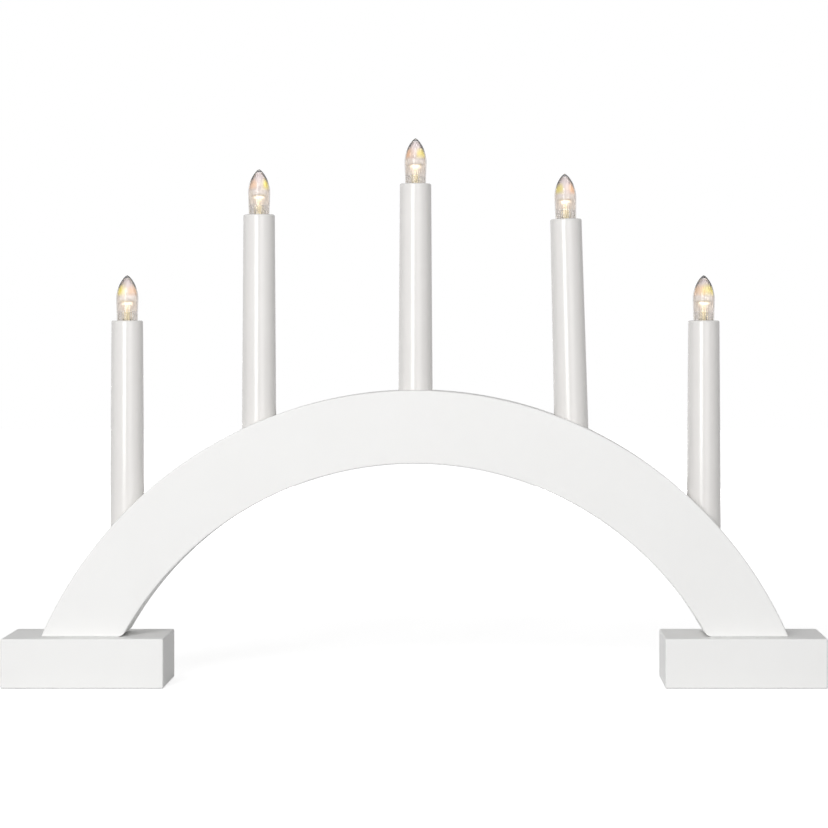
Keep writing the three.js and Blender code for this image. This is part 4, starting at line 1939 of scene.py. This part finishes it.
    def build(self) -> None:
        """Makes the lamp's pieces."""
        number = self.candle.number
        body = f"bulb_{number}"
        turn, cut = self.workshop.lathe.turn, self.workshop.threads.cut
        flutes = Helix(self.flute_twist, -self.flute_depth, self.flute_fade, float(self.flute_count))
        inside_flutes = (self.pocket_radius + self.base_radius) / 2
        guide = turn(self.guide_profile(), self.flute_sides, GUIDE)
        guide = cut(guide, GUIDE, flutes.sizes(inside_flutes, 0.0, self.flute_high))
        cap = turn(self.cap_profile(), self.cap_sides, NICKEL, closed=True)
        inside_thread = (self.cap_bore + self.cap_core) / 2
        cap = cut(cap, NICKEL, CAP_THREAD.sizes(inside_thread, self.cap_low, self.collar_low))
        drop = turn(self.solder_profile(), self.solder_sides, SOLDER)
        # The post glows with painted light; the diode is the lamp.
        lit = [
            ("clear_body", turn(self.body_profile(), self.sides, CLEAR), CLEAR, ["bulb_envelope"]),
            ("light_post", turn(self.post_profile(), self.post_sides, POST), POST, ["bulb_core"]),
            ("light_guide", guide, GUIDE, []),
            ("diode", turn(self.diode_profile(), self.diode_sides, DIODE), DIODE, []),
        ]
        for stem, mesh, finish, nodes in lit:
            nodes = [f"{node}_{number}" for node in nodes]
            show(f"{stem}_{number}", self.candle.seat_marked(mesh), finish, body, nodes)
        show(f"threaded_cap_{number}", self.candle.seat(cap), NICKEL, body, [f"bulb_cap_{number}"])
        end = self.candle.seat(drop)
        show(f"solder_drop_{number}", end, SOLDER, f"{body}_end", [f"bulb_tip_{number}"])


@dataclass
class Wiring(SubAssembly):
    """The insulated wires that join the lamps in series, in the groove and up through the tubes."""

    arch: ArchBoard
    feet: FootBlocks
    holders: list[Lampholder]
    radius: float = 0.7 * MM
    sides: int = 16
    corner_radius: float = 4 * MM
    corner_steps: int = 4
    lane: float = 1.3 * MM
    spread: float = 1.7 * MM
    bend: float = 2 * MM
    bend_steps: int = 3
    gather: float = 12 * MM
    lead_in: float = 2 * MM
    inlet_depth: float = 6 * MM
    track_depth: float = 3.3 * MM
    track_step: float = math.radians(2)

    def __post_init__(self) -> None:
        """Works out the radius of the wires' track and the quarter turns of a bend."""
        self.track = self.arch.inner_radius + self.track_depth
        self.turns = [math.pi / 2 * step / self.bend_steps for step in range(self.bend_steps + 1)]

    def bearing(self, holder: Lampholder) -> float:
        """A candle's bearing from straight up, seen from the middle of the arch's circle."""
        floor = holder.candle.place.translation
        return math.atan2(floor.x, floor.z - self.arch.centre)

    def on_track(self, bearing: float, shift: float, radius: float, lane: float) -> Vector:
        """A point in the groove, or above it in a hole square to it.

        Args:
            bearing: Its bearing from straight up.
            shift: How far it lies along the groove from there.
            radius: Its distance from the middle of the arch's circle.
            lane: Its place across the groove.

        Returns:
            The point.
        """
        x = radius * math.sin(bearing) + shift * math.cos(bearing)
        z = self.arch.centre + radius * math.cos(bearing) - shift * math.sin(bearing)
        return Vector((x, lane, z))

    def along(self, start: float, end: float, lane: float) -> Route:
        """Points in the groove between two bearings.

        Args:
            start: The first bearing.
            end: The last bearing.
            lane: The place across the groove.

        Returns:
            The points between, without the two ends.
        """
        steps = max(2, math.ceil((end - start) / self.track_step))
        bearings = [start + (end - start) * step / steps for step in range(1, steps)]
        return [self.on_track(bearing, 0.0, self.track, lane) for bearing in bearings]

    def rise(self, holder: Lampholder, end: Terminal, spread: float, lane: float, side: int) -> Route:
        """From the groove up through a hole and a tube to a terminal.

        Args:
            holder: The lampholder with the terminal.
            end: Which of its terminals it is.
            spread: The wire's place in the hole, along the groove.
            lane: Its place across the groove.
            side: The side that the groove runs off to, 1 for right and -1 for left.

        Returns:
            The points of the rise.
        """
        bearing = self.bearing(holder)
        place = holder.candle.place
        points = []
        for turn in self.turns:
            shift = spread + side * self.bend * (1 - math.sin(turn))
            radius = self.track + self.bend * (1 - math.cos(turn))
            points.append(self.on_track(bearing, shift, radius, lane))
        reach = (place.translation - Vector((0.0, 0.0, self.arch.centre))).length
        points.append(self.on_track(bearing, spread, reach - 2 * self.bend, lane))
        across, top = holder.terminal(end)
        entry = holder.low - self.lead_in
        tube = [(spread, lane, self.bend), (spread, lane, entry - self.gather)]
        tube += [(across, 0.0, entry), (across, 0.0, top)]
        return points + [place @ Vector(point) for point in tube]

    def inlet(self, lane: float) -> Route:
        """From the bush through the left block to the groove's foot.

        Args:
            lane: The wire's place across the groove.

        Returns:
            The points of the way in.
        """
        bush = self.feet.gland_place()
        height = bush.z + lane
        points = [Vector((bush.x, bush.y - self.inlet_depth, height))]
        for turn in self.turns:
            depth = lane + self.bend * (1 - math.sin(turn))
            points.append(Vector((bush.x, depth, height + self.bend * (1 - math.cos(turn)))))
        points.append(Vector((bush.x, lane, self.arch.foot_top - self.bend)))
        level = self.arch.foot_top + self.bend - self.arch.centre
        points.append(self.on_track(-math.acos(level / self.track), 0.0, self.track, lane))
        return points

    def supply(self, holder: Lampholder, end: Terminal, spread: float, lane: float) -> Route:
        """The route of a wire from the bush to a lampholder.

        Args:
            holder: The lampholder.
            end: The terminal there.
            spread: The wire's place in the candle's hole.
            lane: Its place across the groove.

        Returns:
            The points of the route.
        """
        way_in = self.inlet(lane)
        start = math.atan2(way_in[-1].x, way_in[-1].z - self.arch.centre)
        stop = self.bearing(holder) - (self.bend - spread) / self.track
        return way_in + self.along(start, stop, lane) + self.rise(holder, end, spread, lane, -1)

    def link(self, first: Lampholder, second: Lampholder) -> Route:
        """The route of a wire from one lamp's rivet to the next lamp's shell.

        Args:
            first: The lampholder that it comes from.
            second: The lampholder that it goes to.

        Returns:
            The points of the route.
        """
        margin = (self.spread + self.bend) / self.track
        down = self.rise(first, Terminal.RIVET, self.spread, -self.lane, 1)[::-1]
        across = self.along(self.bearing(first) + margin, self.bearing(second) - margin, -self.lane)
        return down + across + self.rise(second, Terminal.SHELL, -self.spread, -self.lane, -1)

    def build(self) -> None:
        """Makes the wires."""
        first, last = self.holders[0], self.holders[-1]
        routes = {
            "feed_wire": self.supply(first, Terminal.SHELL, -self.spread, -self.lane),
            "return_wire": self.supply(last, Terminal.RIVET, self.spread, self.lane),
        }
        for number, pair in enumerate(zip(self.holders, self.holders[1:]), 1):
            routes[f"link_wire_{number}"] = self.link(*pair)
        sizes = {
            "Wire Radius": self.radius,
            "Sides": self.sides,
            "Bend Radius": self.corner_radius,
            "Bend Steps": self.corner_steps,
        }
        for node, route in routes.items():
            wire = self.workshop.wires.lay(route, INSULATION, sizes)
            show(f"insulated_{node}", wire, INSULATION, STAND, [node])


@dataclass(frozen=True)
class SoftBox:
    """A rectangular studio lamp, which shows in reflections or only gives light."""

    name: str
    place: Triple
    width: float
    height: float
    power: float
    shows: bool = True
    aim: Triple = (0.0, 0.0, 0.14)

    def hang(self) -> None:
        """Makes the lamp."""
        light = bpy.data.lights.new(self.name, "AREA")
        light.shape = "RECTANGLE"
        light.size = self.width
        light.size_y = self.height
        light.energy = self.power
        lamp = placed(self.name, light)
        lamp.location = self.place
        lamp.rotation_euler = (Vector(self.aim) - Vector(self.place)).to_track_quat("-Z", "Y").to_euler()
        lamp.visible_camera = False
        lamp.visible_glossy = self.shows
        lamp.visible_transmission = self.shows


LAMPS = (
    SoftBox("front_box", (-0.53, -1.64, 0.72), width=0.7, height=1.3, power=22.4),
    SoftBox("fill_box", (0.7, -1.5, 0.35), width=0.8, height=1.0, power=4.6),
    SoftBox("back_box", (-0.7, 1.6, 0.12), width=0.8, height=0.2, power=11.0, shows=False),
    SoftBox("rear_box", (0.0, 1.9, 0.09), width=0.4, height=0.14, power=9.0, shows=False),
)


@dataclass
class Studio:
    """The camera, the white floor and surroundings, and the soft lamps."""

    camera_place: Triple = (0.0379, -1.42, 0.1745)
    lens: float = 121.3
    sensor: float = 36.0
    shift: tuple[float, float] = (-0.0918, -0.0894)
    ambient: float = 0.275
    floor_half: float = 4.0
    floor_colour: Colour = (0.66, 0.66, 0.66)
    floor_roughness: float = 0.9
    floor_level: float = -0.05 * MM
    floor_lift: float = 0.7
    shadow_reach: float = 0.3
    white_reach: float = 0.9

    def set_camera(self) -> None:
        """Sets the camera level in front of the arch."""
        lens = bpy.data.cameras.new("front_camera")
        lens.lens = self.lens
        lens.sensor_width = self.sensor
        lens.shift_x, lens.shift_y = self.shift
        camera = placed("front_camera", lens)
        camera.location = self.camera_place
        camera.rotation_euler = (math.pi / 2, 0.0, 0.0)
        bpy.context.scene.camera = camera
        bpy.context.scene.view_settings.view_transform = "Standard"

    @staticmethod
    def seen(tree: NodeTree) -> Signal:
        """1 for rays that show the background, 0 for rays that light the object."""
        path = tree.node("ShaderNodeLightPath", output="Is Camera Ray")
        return path.at_least(path.other("Is Glossy Ray")).at_least(path.other("Is Transmission Ray"))

    def light_world(self) -> None:
        """Makes the surroundings white to look at, and dim as a light."""
        world = bpy.data.worlds.new("white_surroundings")
        world.use_nodes = True
        bpy.context.scene.world = world
        tree = NodeTree(world.node_tree)
        tree.tree.nodes.clear()
        strength = self.ambient + self.seen(tree) * (1.0 - self.ambient)
        sky = tree.node("ShaderNodeBackground", None, {"Color": (1.0, 1.0, 1.0, 1.0), "Strength": strength})
        tree.end("ShaderNodeOutputWorld", sky)

    def lay_floor(self) -> None:
        """Lays the white floor, which still takes the object's shadow."""
        signs = ((-1, -1), (1, -1), (1, 1), (-1, 1))
        corners = [(x * self.floor_half, y * self.floor_half, self.floor_level) for x, y in signs]
        mesh = mesh_of("floor", corners, [], [(0, 1, 2, 3)])
        shader = ShaderTree("floor_white")
        away = shader.node("ShaderNodeVectorMath", {"operation": "LENGTH"}, {0: shader.place()}, "Value")
        far = shader.between(away, self.shadow_reach, self.white_reach)
        lift = self.floor_lift + far * (1.0 - self.floor_lift)
        sockets = {
            "Base Color": (*self.floor_colour, 1.0),
            "Roughness": self.floor_roughness,
            "Specular IOR Level": 0.0,
            "Emission Color": (1.0, 1.0, 1.0, 1.0),
            "Emission Strength": self.seen(shader) * lift,
        }
        shader.close(shader.node("ShaderNodeBsdfPrincipled", None, sockets))
        mesh.materials.append(shader.material)
        placed("floor", mesh)

    def build(self) -> None:
        """Sets up the studio."""
        self.set_camera()
        self.light_world()
        self.lay_floor()
        for lamp in LAMPS:
            lamp.hang()


# How far each lamp happens to be screwed round, in degrees.
LAMP_TURNS = (172.0, 12.0, -14.0, 190.0, 25.0)


def main() -> None:
    """Builds the studio and the candle arch, in order."""
    logging.basicConfig(level=logging.INFO, format="%(message)s")
    Studio().build()
    workshop = Workshop()
    candles = [Candle.from_frame(number, turn) for number, turn in enumerate(LAMP_TURNS, 1)]
    feet = FootBlocks(workshop)
    feet.build()
    arch = ArchBoard(workshop, candles)
    arch.build(feet.screw_places())
    holders = [Lampholder(workshop, candle) for candle in candles]
    for candle, holder in zip(candles, holders):
        CandleTube(workshop, candle).build()
        holder.build()
        Lamp(workshop, candle).build()
    Wiring(workshop, arch, feet, holders).build()


if __name__ == "__main__":
    main()
